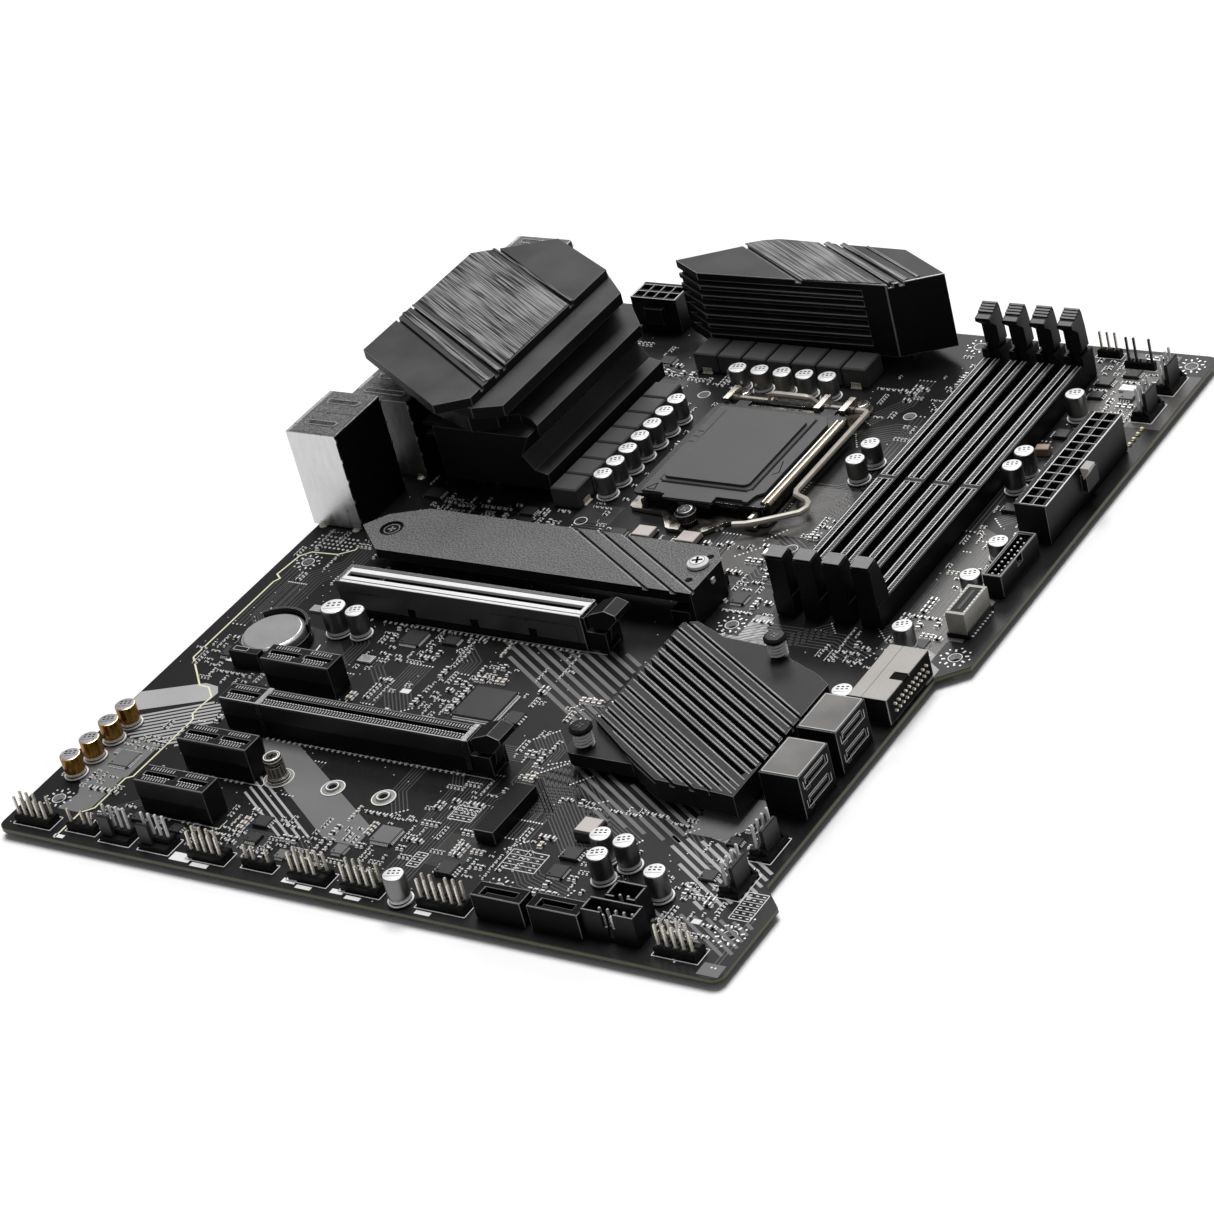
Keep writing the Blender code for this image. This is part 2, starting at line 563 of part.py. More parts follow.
def make_pcie():
    half = PCIE_WIDTH / 2
    for level, y in X16_Y.items():
        end = PCIE_X + X16_LENGTH
        slot = piece(f"pcie_x16_slot_{level}",
                     add_boxes(((PCIE_X, end), (y - half, y + half), (GAP, PCIE_HEIGHT))), BLACK)
        join(slot, add_boxes(((end - 0.5, end + 6.3), (y - half, y + half), (GAP, 6.6))))
        cut(slot, slot_grooves(PCIE_X, X16_LENGTH, y, PCIE_HEIGHT))
        cut(slot, add_boxes(((end + 0.8, end + 8), (y - 2.4, y + 2.4), (0.8, 9.0))))
        make_pcie_latch(f"pcie_latch_{level}", y)
    for k, y in enumerate(X1_Y):
        block = add_boxes(((PCIE_X, PCIE_X + X1_LENGTH), (y - half, y + half), (GAP, PCIE_HEIGHT)))
        slot = piece(f"pcie_x1_slot_{k + 1}", block, BLACK)
        if k == 2:
            join(slot, add_rods(X1_PEGS, PEG_R, (LOWEST, 1.0), segments=10))
        cut(slot, slot_grooves(PCIE_X, X1_LENGTH, y, PCIE_HEIGHT))
    y = X16_Y["upper"]
    skin = half + GAP
    outer = skin + 0.45
    armour = piece("pcie_x16_armour", add_boxes(
        ((PCIE_X - 0.75, PCIE_X + X16_LENGTH - 0.8), (y - outer, y + outer), (GAP, 12.0))), STEEL)
    cut(armour, add_boxes(((PCIE_X - GAP, PCIE_X + X16_LENGTH), (y - skin, y + skin), (-1.0, 11.5)),
                          ((PCIE_X + 0.8, PCIE_X + X16_LENGTH - 2.4), (y - 3.3, y + 3.3), (10.0, 13.0))),
        True)


def make_pcie_latch(name, y):
    px, pz = PCIE_PIVOT
    neck = [(px - 2.3, 1.6), (px + 1.2, 1.6), (px + 2.6, 4.4), (px + 3.4, 8.6), (px - 2.0, 8.6)]
    latch = piece(name, extrusion(neck, (y - 2.0, y + 2.0), "Y"), BLACK, (px, y, pz))
    paddle = [(px - 2.6, 8.2), (px + 3.6, 8.2), (px + 7.4, 12.0), (px + 7.2, 13.6), (px + 3.4, 14.8),
              (px - 1.8, 12.9), (px - 3.0, 11.9)]
    join(latch, extrusion(paddle, (y - 3.9, y + 3.9), "Y"))


def make_dimm():
    half = DIMM_WIDTH / 2
    near, far = DIMM_Y
    py, pz = DIMM_PIVOT
    for k in range(4):
        x = DIMM_X + k * DIMM_PITCH
        slot = piece(f"dimm_slot_{k + 1}",
                     add_boxes(((x - half, x + half), (near, far), (GAP, DIMM_RAIL_Z))), BLACK)
        tower = [(near, 6.0), (near, DIMM_TOWER_Z - 1.0), (near - 0.4, DIMM_TOWER_Z),
                 (near + 4.6, DIMM_TOWER_Z + 0.6), (near + 5.6, DIMM_TOWER_Z - 3.0),
                 (near + 7.0, 11.0), (near + 7.4, 6.0)]
        join(slot, extrusion(tower, (x - 3.0, x + 3.0), "X"))
        join(slot, add_boxes(((x - half, x + half), (281.5, far), (6.0, 10.2))))
        cut(slot, add_boxes(((x - 0.8, x + 0.8), (near + 3.4, DIMM_KEY_Y - 1.0), (2.6, 30.0)),
                            ((x - 0.8, x + 0.8), (DIMM_KEY_Y + 1.0, 282.4), (2.6, 30.0))))
        cut(slot, add_boxes(((x - 2.3, x + 2.3), (281.9, far + 1), (0.8, 15.0))))
        foot = [(py - 2.6, 2.0), (py + 1.6, 2.0), (py + 2.4, 6.0), (py + 2.4, 12.0), (py - 2.2, 12.0),
                (py - 3.0, 8.0)]
        latch = piece(f"dimm_latch_{k + 1}", extrusion(foot, (x - 1.9, x + 1.9), "X"), BLACK, (x, py, pz))
        head = [(py - 2.2, 11.4), (py + 2.4, 11.4), (py + 1.9, 18.4), (py + 1.2, 23.0)]
        for step in range(4):
            back = py + 0.6 - 1.05 * step
            up = 24.6 - 0.42 * step
            head += [(back, up), (back - 0.62, up - 0.25), (back - 0.7, up - 0.75), (back - 1.0, up - 0.82)]
        head += [(py - 5.7, 22.0), (py - 5.8, 20.9), (py - 2.6, 18.2)]
        join(latch, extrusion(head, (x - 2.6, x + 2.6), "X"))


# ---- connectors ----

def power_socket(name, x, y, columns, rows, latch):
    """A power header with square cells; latch is a box for its locking tab."""
    block = piece(name, add_boxes((x, y, (GAP, 12.8))), BLACK)
    join(block, add_boxes(latch))
    cells = bmesh.new()
    for i in range(columns):
        for j in range(rows):
            cx = (x[0] + x[1]) / 2 + (i - (columns - 1) / 2) * 4.2
            cy = (y[0] + y[1]) / 2 + (j - (rows - 1) / 2) * 4.2
            add_box(cells, (cx - 1.7, cx + 1.7), (cy - 1.7, cy + 1.7), (3.0, 14.0))
    cut(block, cells)
    return block


def make_power():
    block = power_socket("atx_power_connector", (229.0, 239.0), (198.6, 249.8), 2, 12,
                         ((238.5, 240.8), (220.6, 227.8), (4.0, 9.6)))
    join(block, add_rods(ATX_PEGS, PEG_R, (LOWEST, 1.0), segments=10))
    power_socket("cpu_power_connector", (41.6, 59.4), (289.2, 299.2), 4, 2,
                 ((47.0, 54.0), (287.6, 289.8), (4.0, 9.6)))


def make_sata():
    for k, low in enumerate((84.6, 64.2)):
        y = (low, low + 16.1)
        stack = piece(f"sata_stack_{k + 1}", add_boxes(((221.5, 233.6), y, (GAP, 13.8))), BLACK)
        slots = bmesh.new()
        for z in (3.6, 9.6):
            add_box(slots, (228.0, 235.0), (low + 2.7, low + 13.3), (z, z + 1.9))
            add_box(slots, (228.0, 235.0), (low + 2.7, low + 4.4), (z - 1.4, z + 1.0))
        cut(stack, slots, True)
    for k, low in enumerate((167.0, 184.9)):
        port = piece(f"sata_port_{k + 5}", add_boxes(((low, low + 15.8), (3.9, 9.9), (GAP, 8.0))), BLACK)
        pegs = [(low + 2.4, SATA_PEG_Y), (low + 13.6, SATA_PEG_Y)]
        join(port, add_rods(pegs, PEG_R, (LOWEST, 1.0), segments=10))
        cut(port, add_boxes(((low + 2.6, low + 13.2), (6.0, 7.9), (2.2, 9.0)),
                            ((low + 2.6, low + 4.3), (4.9, 7.0), (2.2, 9.0))), True)


def make_usb_headers():
    angled = piece("usb3_header_angled", add_boxes(((223.6, 235.5), (107.5, 132.0), (GAP, 8.6))), GREY)
    cut(angled, add_boxes(((227.0, 237.0), (109.0, 130.5), (1.8, 4.0)),
                          ((227.0, 237.0), (109.0, 130.5), (5.2, 7.4)),
                          ((233.0, 237.0), (109.0, 130.5), (2.4, 6.8)),
                          ((231.2, 237.0), (117.0, 120.4), (6.0, 10.0))), True)
    upright = piece("usb3_header_upright", add_boxes(((232.0, 238.0), (170.6, 193.3), (GAP, 7.2))), BLACK)
    cut(upright, add_boxes(((233.05, 236.95), (171.7, 192.2), (1.8, 9.0)),
                           ((236.0, 240.0), (180.4, 183.4), (4.4, 9.0))), True)
    front = piece("usb_c_header", add_boxes(((231.0, 237.0), (150.0, 164.5), (GAP, 8.0))), STEEL)
    cut(front, add_boxes(((232.0, 233.5), (151.2, 163.3), (2.4, 9.0)),
                         ((234.5, 236.0), (151.2, 163.3), (2.4, 9.0)),
                         ((232.0, 236.0), (151.2, 163.3), (6.6, 9.0))), True)


def make_battery():
    x, y = BATTERY
    holder = piece("battery_holder", add_rods([BATTERY], BATTERY_R + 1.3, (GAP, 3.8), segments=32), BLACK)
    join(holder, add_boxes(((x - 7.5, x + 3.5), (y - 12.6, y - 8.0), (GAP, 6.2))))
    cut(holder, add_rods([BATTERY], BATTERY_R + GAP, (BATTERY_Z[0] - GAP, 9.0), segments=32))
    cut(holder, add_boxes(((x + 5.0, x + 14.0), (y + 5.0, y + 14.0), (2.2, 5.0))))
    low, high = BATTERY_Z
    r = BATTERY_R
    turned("cmos_battery", [(0, high), (r - 1.1, high), (r - 0.3, high - 0.5), (r, high - 1.1),
                            (r, low + 0.6), (r - 0.8, low + 0.5), (r - 1.0, low), (0, low)],
           BATTERY, STEEL, 32)


# ---- rear connectors ----

def usb_mouths(bm, y, levels):
    """USB ports that open at the I/O edge, each a mouth split by its tongue."""
    for z in levels:
        add_box(bm, (-4.0, 9.0), (y - 6.2, y + 6.2), (z, z + 1.6))
        add_box(bm, (-4.0, 9.0), (y - 6.2, y + 6.2), (z + 3.4, z + 5.0))
        add_box(bm, (-4.0, 0.0), (y - 6.2, y + 6.2), (z + 1.0, z + 4.0))


def make_rear_connectors():
    edge = -IO_OVERHANG
    audio = piece("io_audio_jacks", add_boxes(((edge, 17.6), (160.5, 185.0), (GAP, 34.4))), STEEL)
    join(audio, add_rods(AUDIO_PEGS, PEG_R, (LOWEST, 1.0), segments=10))
    jacks = bmesh.new()
    for z in (6.6, 17.4, 28.2):
        for y in (166.8, 178.8):
            add_rod(jacks, (y, z), 1.8, (-4.0, 10.0), "X", 12)
    cut(audio, jacks)
    lan = piece("io_lan_usb_stack", add_boxes(((edge, 21.2), (192.2, 209.2), (GAP, 28.0))), STEEL)
    mouths = add_boxes(((-4.0, 11.0), (194.9, 206.5), (16.6, 24.6)))
    usb_mouths(mouths, 200.7, (2.2, 9.2))
    cut(lan, mouths, True)
    usb = piece("io_usb_stack", add_boxes(((edge, 19.0), (214.0, 229.0), (GAP, 28.0))), STEEL)
    mouths = bmesh.new()
    usb_mouths(mouths, 221.5, (2.2, 9.2, 20.8))
    cut(usb, mouths, True)
    video = piece("io_video_stack", add_boxes(((edge, 20.0), (234.0, 252.0), (GAP, 24.0))), STEEL)
    mouths = bmesh.new()
    for z, y in ((2.6, (235.5, 250.5)), (14.6, (235.0, 251.0))):
        add_box(mouths, (-4.0, 9.0), y, (z, z + 1.4))
        add_box(mouths, (-4.0, 9.0), y, (z + 3.0, z + 4.4))
        add_box(mouths, (-4.0, 0.0), y, (z + 0.4, z + 4.0))
    cut(video, mouths, True)
    keyboard = piece("io_ps2_usb_stack", add_boxes(((edge, 20.0), (279.0, 293.6), (GAP, 30.0))), STEEL)
    join(keyboard, add_rods([KEYBOARD_PEG], PEG_R, (LOWEST, 1.0), segments=10))
    mouths = add_rods([(286.3, 22.0)], 4.6, (-4.0, 8.0), "X", 16)
    usb_mouths(mouths, 286.3, (1.8, 8.6))
    cut(keyboard, mouths, True)


def make_heatsink_screws():
    for name, centre in HEATSINK_SCREWS.items():
        screw(f"heatsink_screw_{name}", centre, SCREW_R, 2.8, 7.0, LOWEST + TAIL - GAP)


make_board()
make_socket()
make_io_heatsink()
make_top_heatsink()
make_heatsink_screws()
make_chipset_heatsink()
make_m2()
make_pcie()
make_dimm()
make_power()
make_sata()
make_usb_headers()
make_battery()
make_rear_connectors()
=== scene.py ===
"""Looks of an ATX motherboard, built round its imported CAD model.

Places are in board millimetres: X from the rear port edge, Y from the bottom edge, Z up from the
component face. ORIGIN carries them into the row frame.
"""

import json
import math
import random

import bmesh
import bpy
from mathutils import Euler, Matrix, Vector


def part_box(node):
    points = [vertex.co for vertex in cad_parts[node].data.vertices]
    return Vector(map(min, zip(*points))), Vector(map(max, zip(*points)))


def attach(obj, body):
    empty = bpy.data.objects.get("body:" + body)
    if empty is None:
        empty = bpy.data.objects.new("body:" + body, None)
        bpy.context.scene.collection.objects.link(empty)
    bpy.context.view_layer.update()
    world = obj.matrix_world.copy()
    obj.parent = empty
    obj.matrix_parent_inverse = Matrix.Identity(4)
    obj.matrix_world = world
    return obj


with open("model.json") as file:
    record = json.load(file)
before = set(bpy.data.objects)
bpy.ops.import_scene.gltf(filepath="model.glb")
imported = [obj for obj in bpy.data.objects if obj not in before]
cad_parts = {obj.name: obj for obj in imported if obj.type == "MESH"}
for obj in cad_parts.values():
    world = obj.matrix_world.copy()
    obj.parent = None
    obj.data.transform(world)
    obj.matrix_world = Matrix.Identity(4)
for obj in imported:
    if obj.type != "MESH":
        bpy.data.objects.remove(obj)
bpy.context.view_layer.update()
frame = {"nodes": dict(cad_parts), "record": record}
rng = random.Random(11)
scene = bpy.context.scene

MM = 0.001
PCB_LOW, PCB_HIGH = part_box("pcb")
ORIGIN = Vector((PCB_LOW.x, PCB_LOW.y, PCB_HIGH.z))
BOARD = (243.84, 304.8)  # its size in X and Y
UNDER = -1.6             # underside of the board
SUNK = -0.02             # base of anything that lies on a face, so that the two don't coincide
DIAGONAL = -0.6          # slope of the grooves and stripes that cross the board
PITCH = 2.54             # between the pins of a header
SOCKET = (125.0, 218.0)  # middle of the processor socket
CELL = (29.5, 98.8)      # middle of the battery


def span(node):
    """A CAD node's box in board millimetres: (x, y, z) pairs."""
    low, high = [(corner - ORIGIN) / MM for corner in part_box(node)]
    return [(low[i], high[i]) for i in range(3)]


# ---- materials ----

def colours(sockets):
    """The colour sockets of a Mix node."""
    return [socket for socket in sockets if socket.type == "RGBA"]


def finish(dark, light, rough, metallic=0.0, grain=0.35, bump=0.2, relief=0.05, broad=0.35, stretch=(1, 1, 1),
           turn=0.0, specular=0.4, contrast=0.18):
    """Material whose tone, roughness and relief follow noise of a grain size in millimetres."""
    made = bpy.data.materials.new("finish")
    made.use_nodes = True
    nodes, links = made.node_tree.nodes, made.node_tree.links
    shader = nodes["Principled BSDF"]
    shader.inputs["Metallic"].default_value = metallic
    shader.inputs["Specular IOR Level"].default_value = specular
    place = nodes.new("ShaderNodeTexCoord")

    def noise(size, detail, stretched):
        mapping = nodes.new("ShaderNodeMapping")
        mapping.vector_type = "TEXTURE"
        mapping.inputs["Rotation"].default_value = (0.0, 0.0, turn)
        scale = [size * MM * s for s in (stretch if stretched else (1, 1, 1))]
        mapping.inputs["Scale"].default_value = scale
        links.new(place.outputs["Object"], mapping.inputs["Vector"])
        field = nodes.new("ShaderNodeTexNoise")
        field.inputs["Scale"].default_value = 1.0
        field.inputs["Detail"].default_value = detail
        links.new(mapping.outputs["Vector"], field.inputs["Vector"])
        return field.outputs["Fac"]

    fine, wide = noise(grain, 3.0, True), noise(18.0, 2.0, False)
    blend = nodes.new("ShaderNodeMix")
    blend.inputs["Factor"].default_value = broad
    links.new(fine, blend.inputs["A"])
    links.new(wide, blend.inputs["B"])

    def remap(low, high, source):
        node = nodes.new("ShaderNodeMapRange")
        node.inputs["From Min"].default_value = 0.5 - contrast
        node.inputs["From Max"].default_value = 0.5 + contrast
        node.inputs["To Min"].default_value = low
        node.inputs["To Max"].default_value = high
        links.new(source, node.inputs["Value"])
        return node.outputs["Result"]

    tone = nodes.new("ShaderNodeMix")
    tone.data_type = "RGBA"
    for socket, color in zip(colours(tone.inputs), (dark, light)):
        socket.default_value = (*((color,) * 3 if isinstance(color, float) else color), 1.0)
    links.new(remap(0.0, 1.0, blend.outputs["Result"]), tone.inputs["Factor"])
    links.new(colours(tone.outputs)[0], shader.inputs["Base Color"])
    links.new(remap(*rough, fine), shader.inputs["Roughness"])
    raised = nodes.new("ShaderNodeBump")
    raised.inputs["Strength"].default_value = bump
    raised.inputs["Distance"].default_value = relief * MM
    links.new(fine, raised.inputs["Height"])
    links.new(raised.outputs["Normal"], shader.inputs["Normal"])
    return made


BRUSH = math.atan(DIAGONAL)
FINISHES = {}


def finishes(slot, **kinds):
    """Name the finishes of one material slot and keep them by name."""
    for key, made in kinds.items():
        made.name = key
        FINISHES[key] = (slot, made)


finishes(
    "laminate",
    board=finish(0.005, 0.011, (0.28, 0.42), grain=0.5, bump=0.12, specular=0.22),
    trace=finish(0.045, 0.075, (0.26, 0.38), grain=0.4, bump=0.1),
    copper_fill=finish(0.016, 0.028, (0.3, 0.45), grain=0.8, bump=0.12, specular=0.32),
    # sheen and soft_sheen: lighter board tones that paint reflections on the board
    sheen=finish((0.095, 0.09, 0.084), (0.185, 0.177, 0.166), (0.34, 0.5), grain=1.1, bump=0.3, broad=0.55),
    soft_sheen=finish((0.045, 0.042, 0.04), (0.085, 0.08, 0.076), (0.34, 0.5), grain=0.9, bump=0.4,
                      broad=0.5),
    foil=finish(0.012, 0.42, (0.26, 0.4), grain=1.3, bump=0.5, stretch=(2.2, 1, 1), turn=0.9, contrast=0.13)
)
finishes(
    "print",
    ink=finish(0.12, 0.16, (0.5, 0.62), grain=0.3, bump=0.15, specular=0.25),
    pale_ink=finish(0.3, 0.4, (0.45, 0.6), grain=0.3, bump=0.15, specular=0.3),
    white_ink=finish(0.6, 0.75, (0.5, 0.65), grain=0.2, bump=0.15),
    yellow_ink=finish((0.62, 0.6, 0.38), (0.74, 0.72, 0.5), (0.4, 0.55), grain=0.3),
    # dark_ink is print; in holes, notches and recesses it is painted shade
    dark_ink=finish(0.004, 0.008, (0.6, 0.75), grain=0.3, bump=0.15, specular=0.04)
)
finishes(
    "black_plastic",
    plastic=finish(0.0035, 0.007, (0.34, 0.5), grain=0.22, bump=0.3, specular=0.14),
    matt_plastic=finish(0.003, 0.006, (0.5, 0.62), grain=0.22, bump=0.3, specular=0.05),
    satin_plastic=finish(0.014, 0.024, (0.28, 0.4), grain=0.3, specular=0.25),
    # comb, edge and rim: lighter tones of the black plastic; on rims, rib tops and edges they are painted
    # highlights
    comb=finish(0.13, 0.22, (0.3, 0.45), grain=0.3),
    edge=finish(0.1, 0.17, (0.26, 0.38), grain=0.3, bump=0.15),
    rim=finish(0.42, 0.58, (0.28, 0.42), grain=0.3, bump=0.15)
)
finishes(
    "grey_plastic",
    shadow_plastic=finish(0.004, 0.012, (0.5, 0.62), grain=0.4, specular=0.08),
    # worn_plastic: a lighter grey laid on tops and edges, painted highlight
    worn_plastic=finish((0.07, 0.066, 0.062), (0.19, 0.18, 0.17), (0.35, 0.5), grain=0.4, broad=0.7),
    pale_plastic=finish((0.3, 0.285, 0.27), (0.4, 0.38, 0.36), (0.42, 0.55), grain=0.3)
)
finishes(
    "cover_plastic",
    cover=finish(0.042, 0.058, (0.4, 0.52), grain=0.25, bump=0.3),
    # cover_edge: a lighter tone for the cover's bevelled edges, a painted highlight
    cover_edge=finish(0.13, 0.2, (0.3, 0.42), grain=0.25, bump=0.3)
)
finishes(
    "heatsink_aluminium",
    anodised=finish(0.03, 0.066, (0.4, 0.54), grain=0.3, bump=0.55, relief=0.04, specular=0.16, broad=0.45,
                    contrast=0.13),
    dark_anodised=finish(0.013, 0.03, (0.38, 0.5), grain=0.3, bump=0.45, relief=0.04, specular=0.2,
                         broad=0.3, contrast=0.13),
    # fin_edge, machined and soft_edge: lighter tones for edges, partly a bright machined finish and partly a
    # painted highlight
    fin_edge=finish(0.17, 0.34, (0.3, 0.42), 0.2, grain=0.5, broad=0.6),
    machined=finish(0.24, 0.36, (0.28, 0.4), 0.5, grain=0.3),
    brushed=finish(0.002, 0.25, (0.28, 0.42), 0.6, grain=0.34, bump=0.4, relief=0.03, broad=0.22,
                   stretch=(70, 1, 1), turn=BRUSH, contrast=0.055),
    soft_brushed=finish(0.002, 0.19, (0.28, 0.42), 0.6, grain=0.34, bump=0.4, relief=0.03, broad=0.2,
                        stretch=(70, 1, 1), turn=BRUSH, contrast=0.055),
    soft_edge=finish(0.06, 0.11, (0.28, 0.4), 0.3, grain=0.3),
    # wall: a darker tone for the heatsinks' upright faces, painted shade
    wall=finish(0.006, 0.013, (0.4, 0.52), grain=0.3, bump=0.3, specular=0.1),
    sandblast=finish(0.036, 0.185, (0.4, 0.54), grain=0.52, bump=0.8, specular=0.2, broad=0.1,
                     contrast=0.125)
)
finishes(
    "bright_aluminium",
    can=finish(0.16, 0.22, (0.3, 0.4), 0.9, grain=1.5, bump=0.08, stretch=(1, 1, 8)),
    can_top=finish(0.62, 0.8, (0.4, 0.55), 0.35, grain=0.2, bump=0.3),
    grey_top=finish((0.26, 0.25, 0.27), (0.4, 0.39, 0.42), (0.35, 0.5), 0.35, grain=0.9)
)
finishes(
    "chip_epoxy",
    ferrite=finish(0.036, 0.056, (0.42, 0.58), grain=0.18, bump=0.4),
    pale_ferrite=finish((0.4, 0.36, 0.34), (0.5, 0.46, 0.44), (0.42, 0.58), grain=0.2),
    epoxy=finish(0.018, 0.03, (0.32, 0.48), grain=0.15, bump=0.3),
    grey_epoxy=finish(0.1, 0.14, (0.38, 0.5), grain=0.15, bump=0.3)
)
finishes(
    "component_ceramic",
    ceramic=finish((0.2, 0.15, 0.1), (0.34, 0.26, 0.19), (0.35, 0.5), grain=0.2),
    dark_ceramic=finish(0.01, 0.026, (0.3, 0.45), grain=0.2),
    lamp=finish((0.72, 0.66, 0.3), (0.86, 0.8, 0.45), (0.3, 0.45), grain=0.3)
)
finishes(
    "steel",
    tin=finish(0.66, 0.9, (0.24, 0.42), 0.35, grain=0.3, bump=0.25),
    nickel=finish((0.24, 0.23, 0.21), (0.33, 0.32, 0.29), (0.32, 0.45), 0.3, grain=0.8, bump=0.15),
    wire=finish((0.36, 0.33, 0.29), (0.46, 0.43, 0.38), (0.44, 0.54), 0.3, grain=2.0, bump=0.03),
    steel=finish((0.52, 0.48, 0.42), (0.62, 0.58, 0.52), (0.16, 0.26), 1.0, grain=2.4, bump=0.04),
    dull_steel=finish((0.11, 0.105, 0.1), (0.15, 0.145, 0.14), (0.24, 0.34), 1.0, grain=2.4, bump=0.04),
    dark_steel=finish(0.1, 0.15, (0.4, 0.48), 0.8, grain=0.6, bump=0.02, specular=0.3, broad=0.45,
                      contrast=0.3),
    plate_steel=finish(0.022, 0.042, (0.24, 0.34), 0.6, grain=2.4, bump=0.04, specular=0.2),
    black_steel=finish(0.006, 0.014, (0.22, 0.34), 0.3, grain=0.6, bump=0.1, specular=0.2),
    # warm_steel: steel with a yellowish reflection painted into its colour
    warm_steel=finish((0.62, 0.54, 0.42), (0.76, 0.68, 0.55), (0.16, 0.26), 0.9, grain=2.4, bump=0.03),
    # polished is also the edge finish of steel parts, a painted highlight there
    polished=finish(0.8, 0.9, (0.16, 0.26), 0.8, grain=1.5, bump=0.04),
    # bright: a pale tin tone; on rails, rims and edges it also paints highlights
    bright=finish(0.66, 0.8, (0.3, 0.42), grain=0.6, bump=0.1),
    cell=finish(0.28, 0.38, (0.34, 0.46), 0.6, grain=0.3, bump=0.35, broad=0.6),
    dark_pin=finish(0.06, 0.12, (0.24, 0.38), 0.9, grain=0.5)
)
finishes(
    "connector_shell",
    shell=finish(0.52, 0.66, (0.26, 0.38), 0.95, grain=2.2, bump=0.06, stretch=(1, 1, 3)),
    dim_shell=finish(0.12, 0.19, (0.3, 0.42), 0.9, grain=2.2, bump=0.06, stretch=(1, 1, 3)),
    black_shell=finish(0.004, 0.008, (0.3, 0.45), 0.2, grain=1.0, bump=0.1, specular=0.25),
    knurled=finish(0.04, 0.2, (0.35, 0.5), 0.6, grain=0.45, bump=0.6, relief=0.08, broad=0.05, contrast=0.1)
)
finishes(
    "gilt_metal",
    gold=finish((0.72, 0.52, 0.24), (0.86, 0.66, 0.36), (0.2, 0.34), 0.9, grain=0.4),
    pale_gold=finish((0.72, 0.67, 0.57), (0.9, 0.86, 0.76), (0.2, 0.34), 0.45, grain=0.4),
    gilt_can=finish((0.16, 0.075, 0.012), (0.4, 0.22, 0.05), (0.2, 0.34), 0.9, grain=1.0, stretch=(1, 1, 8))
)


def tint(material, axis, colour, weigh, first):
    """Mix a colour into a finish along an axis; first says which socket of the mix takes it."""
    nodes, links = material.node_tree.nodes, material.node_tree.links
    place, split = nodes.new("ShaderNodeTexCoord"), nodes.new("ShaderNodeSeparateXYZ")
    links.new(place.outputs["Object"], split.inputs["Vector"])
    blend = nodes.new("ShaderNodeMix")
    blend.data_type = "RGBA"
    sockets = colours(blend.inputs)
    added, own = sockets if first else reversed(sockets)
    base = nodes["Principled BSDF"].inputs["Base Color"]
    links.new(base.links[0].from_socket, own)
    added.default_value = (*colour, 1.0)
    links.new(weigh(nodes, links, split.outputs[axis]), blend.inputs["Factor"])
    links.new(colours(blend.outputs)[0], base)


def show_core(middle, half):
    """Colour the laminate's bare glass core on the board's cut edges."""
    def weigh(nodes, links, height):
        away, near = nodes.new("ShaderNodeMath"), nodes.new("ShaderNodeMath")
        away.operation, away.inputs[1].default_value = "SUBTRACT", middle
        near.operation, near.inputs[1].default_value, near.inputs[2].default_value = "COMPARE", 0.0, half
        links.new(height, away.inputs[0])
        links.new(away.outputs["Value"], near.inputs[0])
        return near.outputs["Value"]

    tint(FINISHES["board"][1], "Z", GLASS_CORE, weigh, False)


def fade_painted_sheen(low, high):
    """Let a patch of painted reflection grow out of the dark board between two X places."""
    def weigh(nodes, links, across):
        ramp = nodes.new("ShaderNodeMapRange")
        ramp.inputs["From Min"].default_value = ORIGIN.x + low * MM
        ramp.inputs["From Max"].default_value = ORIGIN.x + high * MM
        links.new(across, ramp.inputs["Value"])
        return ramp.outputs["Result"]

    tint(FINISHES["sheen"][1], "X", DARK_MASK, weigh, True)


GLASS_CORE = (0.085, 0.085, 0.04)
DARK_MASK = (0.008, 0.008, 0.008)
show_core(ORIGIN.z - 0.8 * MM, 0.5 * MM)
fade_painted_sheen(213.5, 223.0)


# ---- shapes, in board millimetres ----

def inset(pair, low, high=None):
    """A (low, high) pair moved inwards at each end."""
    return pair[0] + low, pair[1] - (low if high is None else high)


def mid(pair):
    return (pair[0] + pair[1]) / 2


def around(middle, size, margin=0.0):
    """The (low, high) pair of a size about its middle, with a margin outside."""
    return middle - size / 2 - margin, middle + size / 2 + margin


def lid(top, above, below=0.1):
    """The (low, high) pair of something let into a top face."""
    return top - below, top + above


def circle(segments):
    """Points of a unit circle, anticlockwise."""
    turns = [2 * math.pi * i / segments for i in range(segments)]
    return [(math.cos(turn), math.sin(turn)) for turn in turns]


def arc(centre, radius, low, high):
    """Points of an arc, one every six degrees."""
    turns = [math.radians(a) for a in range(low, high + 1, 6)]
    return [(centre[0] + radius * math.cos(turn), centre[1] + radius * math.sin(turn)) for turn in turns]


def offset(points, distance, closed=False):
    """A line in plan moved to its left; a closed outline that runs anticlockwise moves inwards."""
    moved, count = [], len(points)
    for i, point in enumerate(points):
        normals = []
        for a, b in ((i - 1, i), (i, i + 1)):
            if closed or (a >= 0 and b < count):
                p, q = points[a % count], points[b % count]
                length = math.hypot(q[0] - p[0], q[1] - p[1]) or 1.0
                normals.append(((p[1] - q[1]) / length, (q[0] - p[0]) / length))
        nx, ny = sum(n[0] for n in normals), sum(n[1] for n in normals)
        size = nx * nx + ny * ny
        scale = distance * len(normals) / max(size, 0.3)
        moved.append((point[0] + nx * scale, point[1] + ny * scale))
    return moved


def anticlockwise(outline):
    area = sum(p[0] * q[1] - q[0] * p[1] for p, q in zip(outline, outline[1:] + outline[:1]))
    return list(outline) if area > 0 else list(reversed(outline))


def rect(cx, cy, sx, sy, turn=0.0):
    c, s = math.cos(turn), math.sin(turn)
    corners = ((-sx / 2, -sy / 2), (sx / 2, -sy / 2), (sx / 2, sy / 2), (-sx / 2, sy / 2))
    return [(cx + u * c - v * s, cy + u * s + v * c) for u, v in corners]


SHARP = math.radians(38)


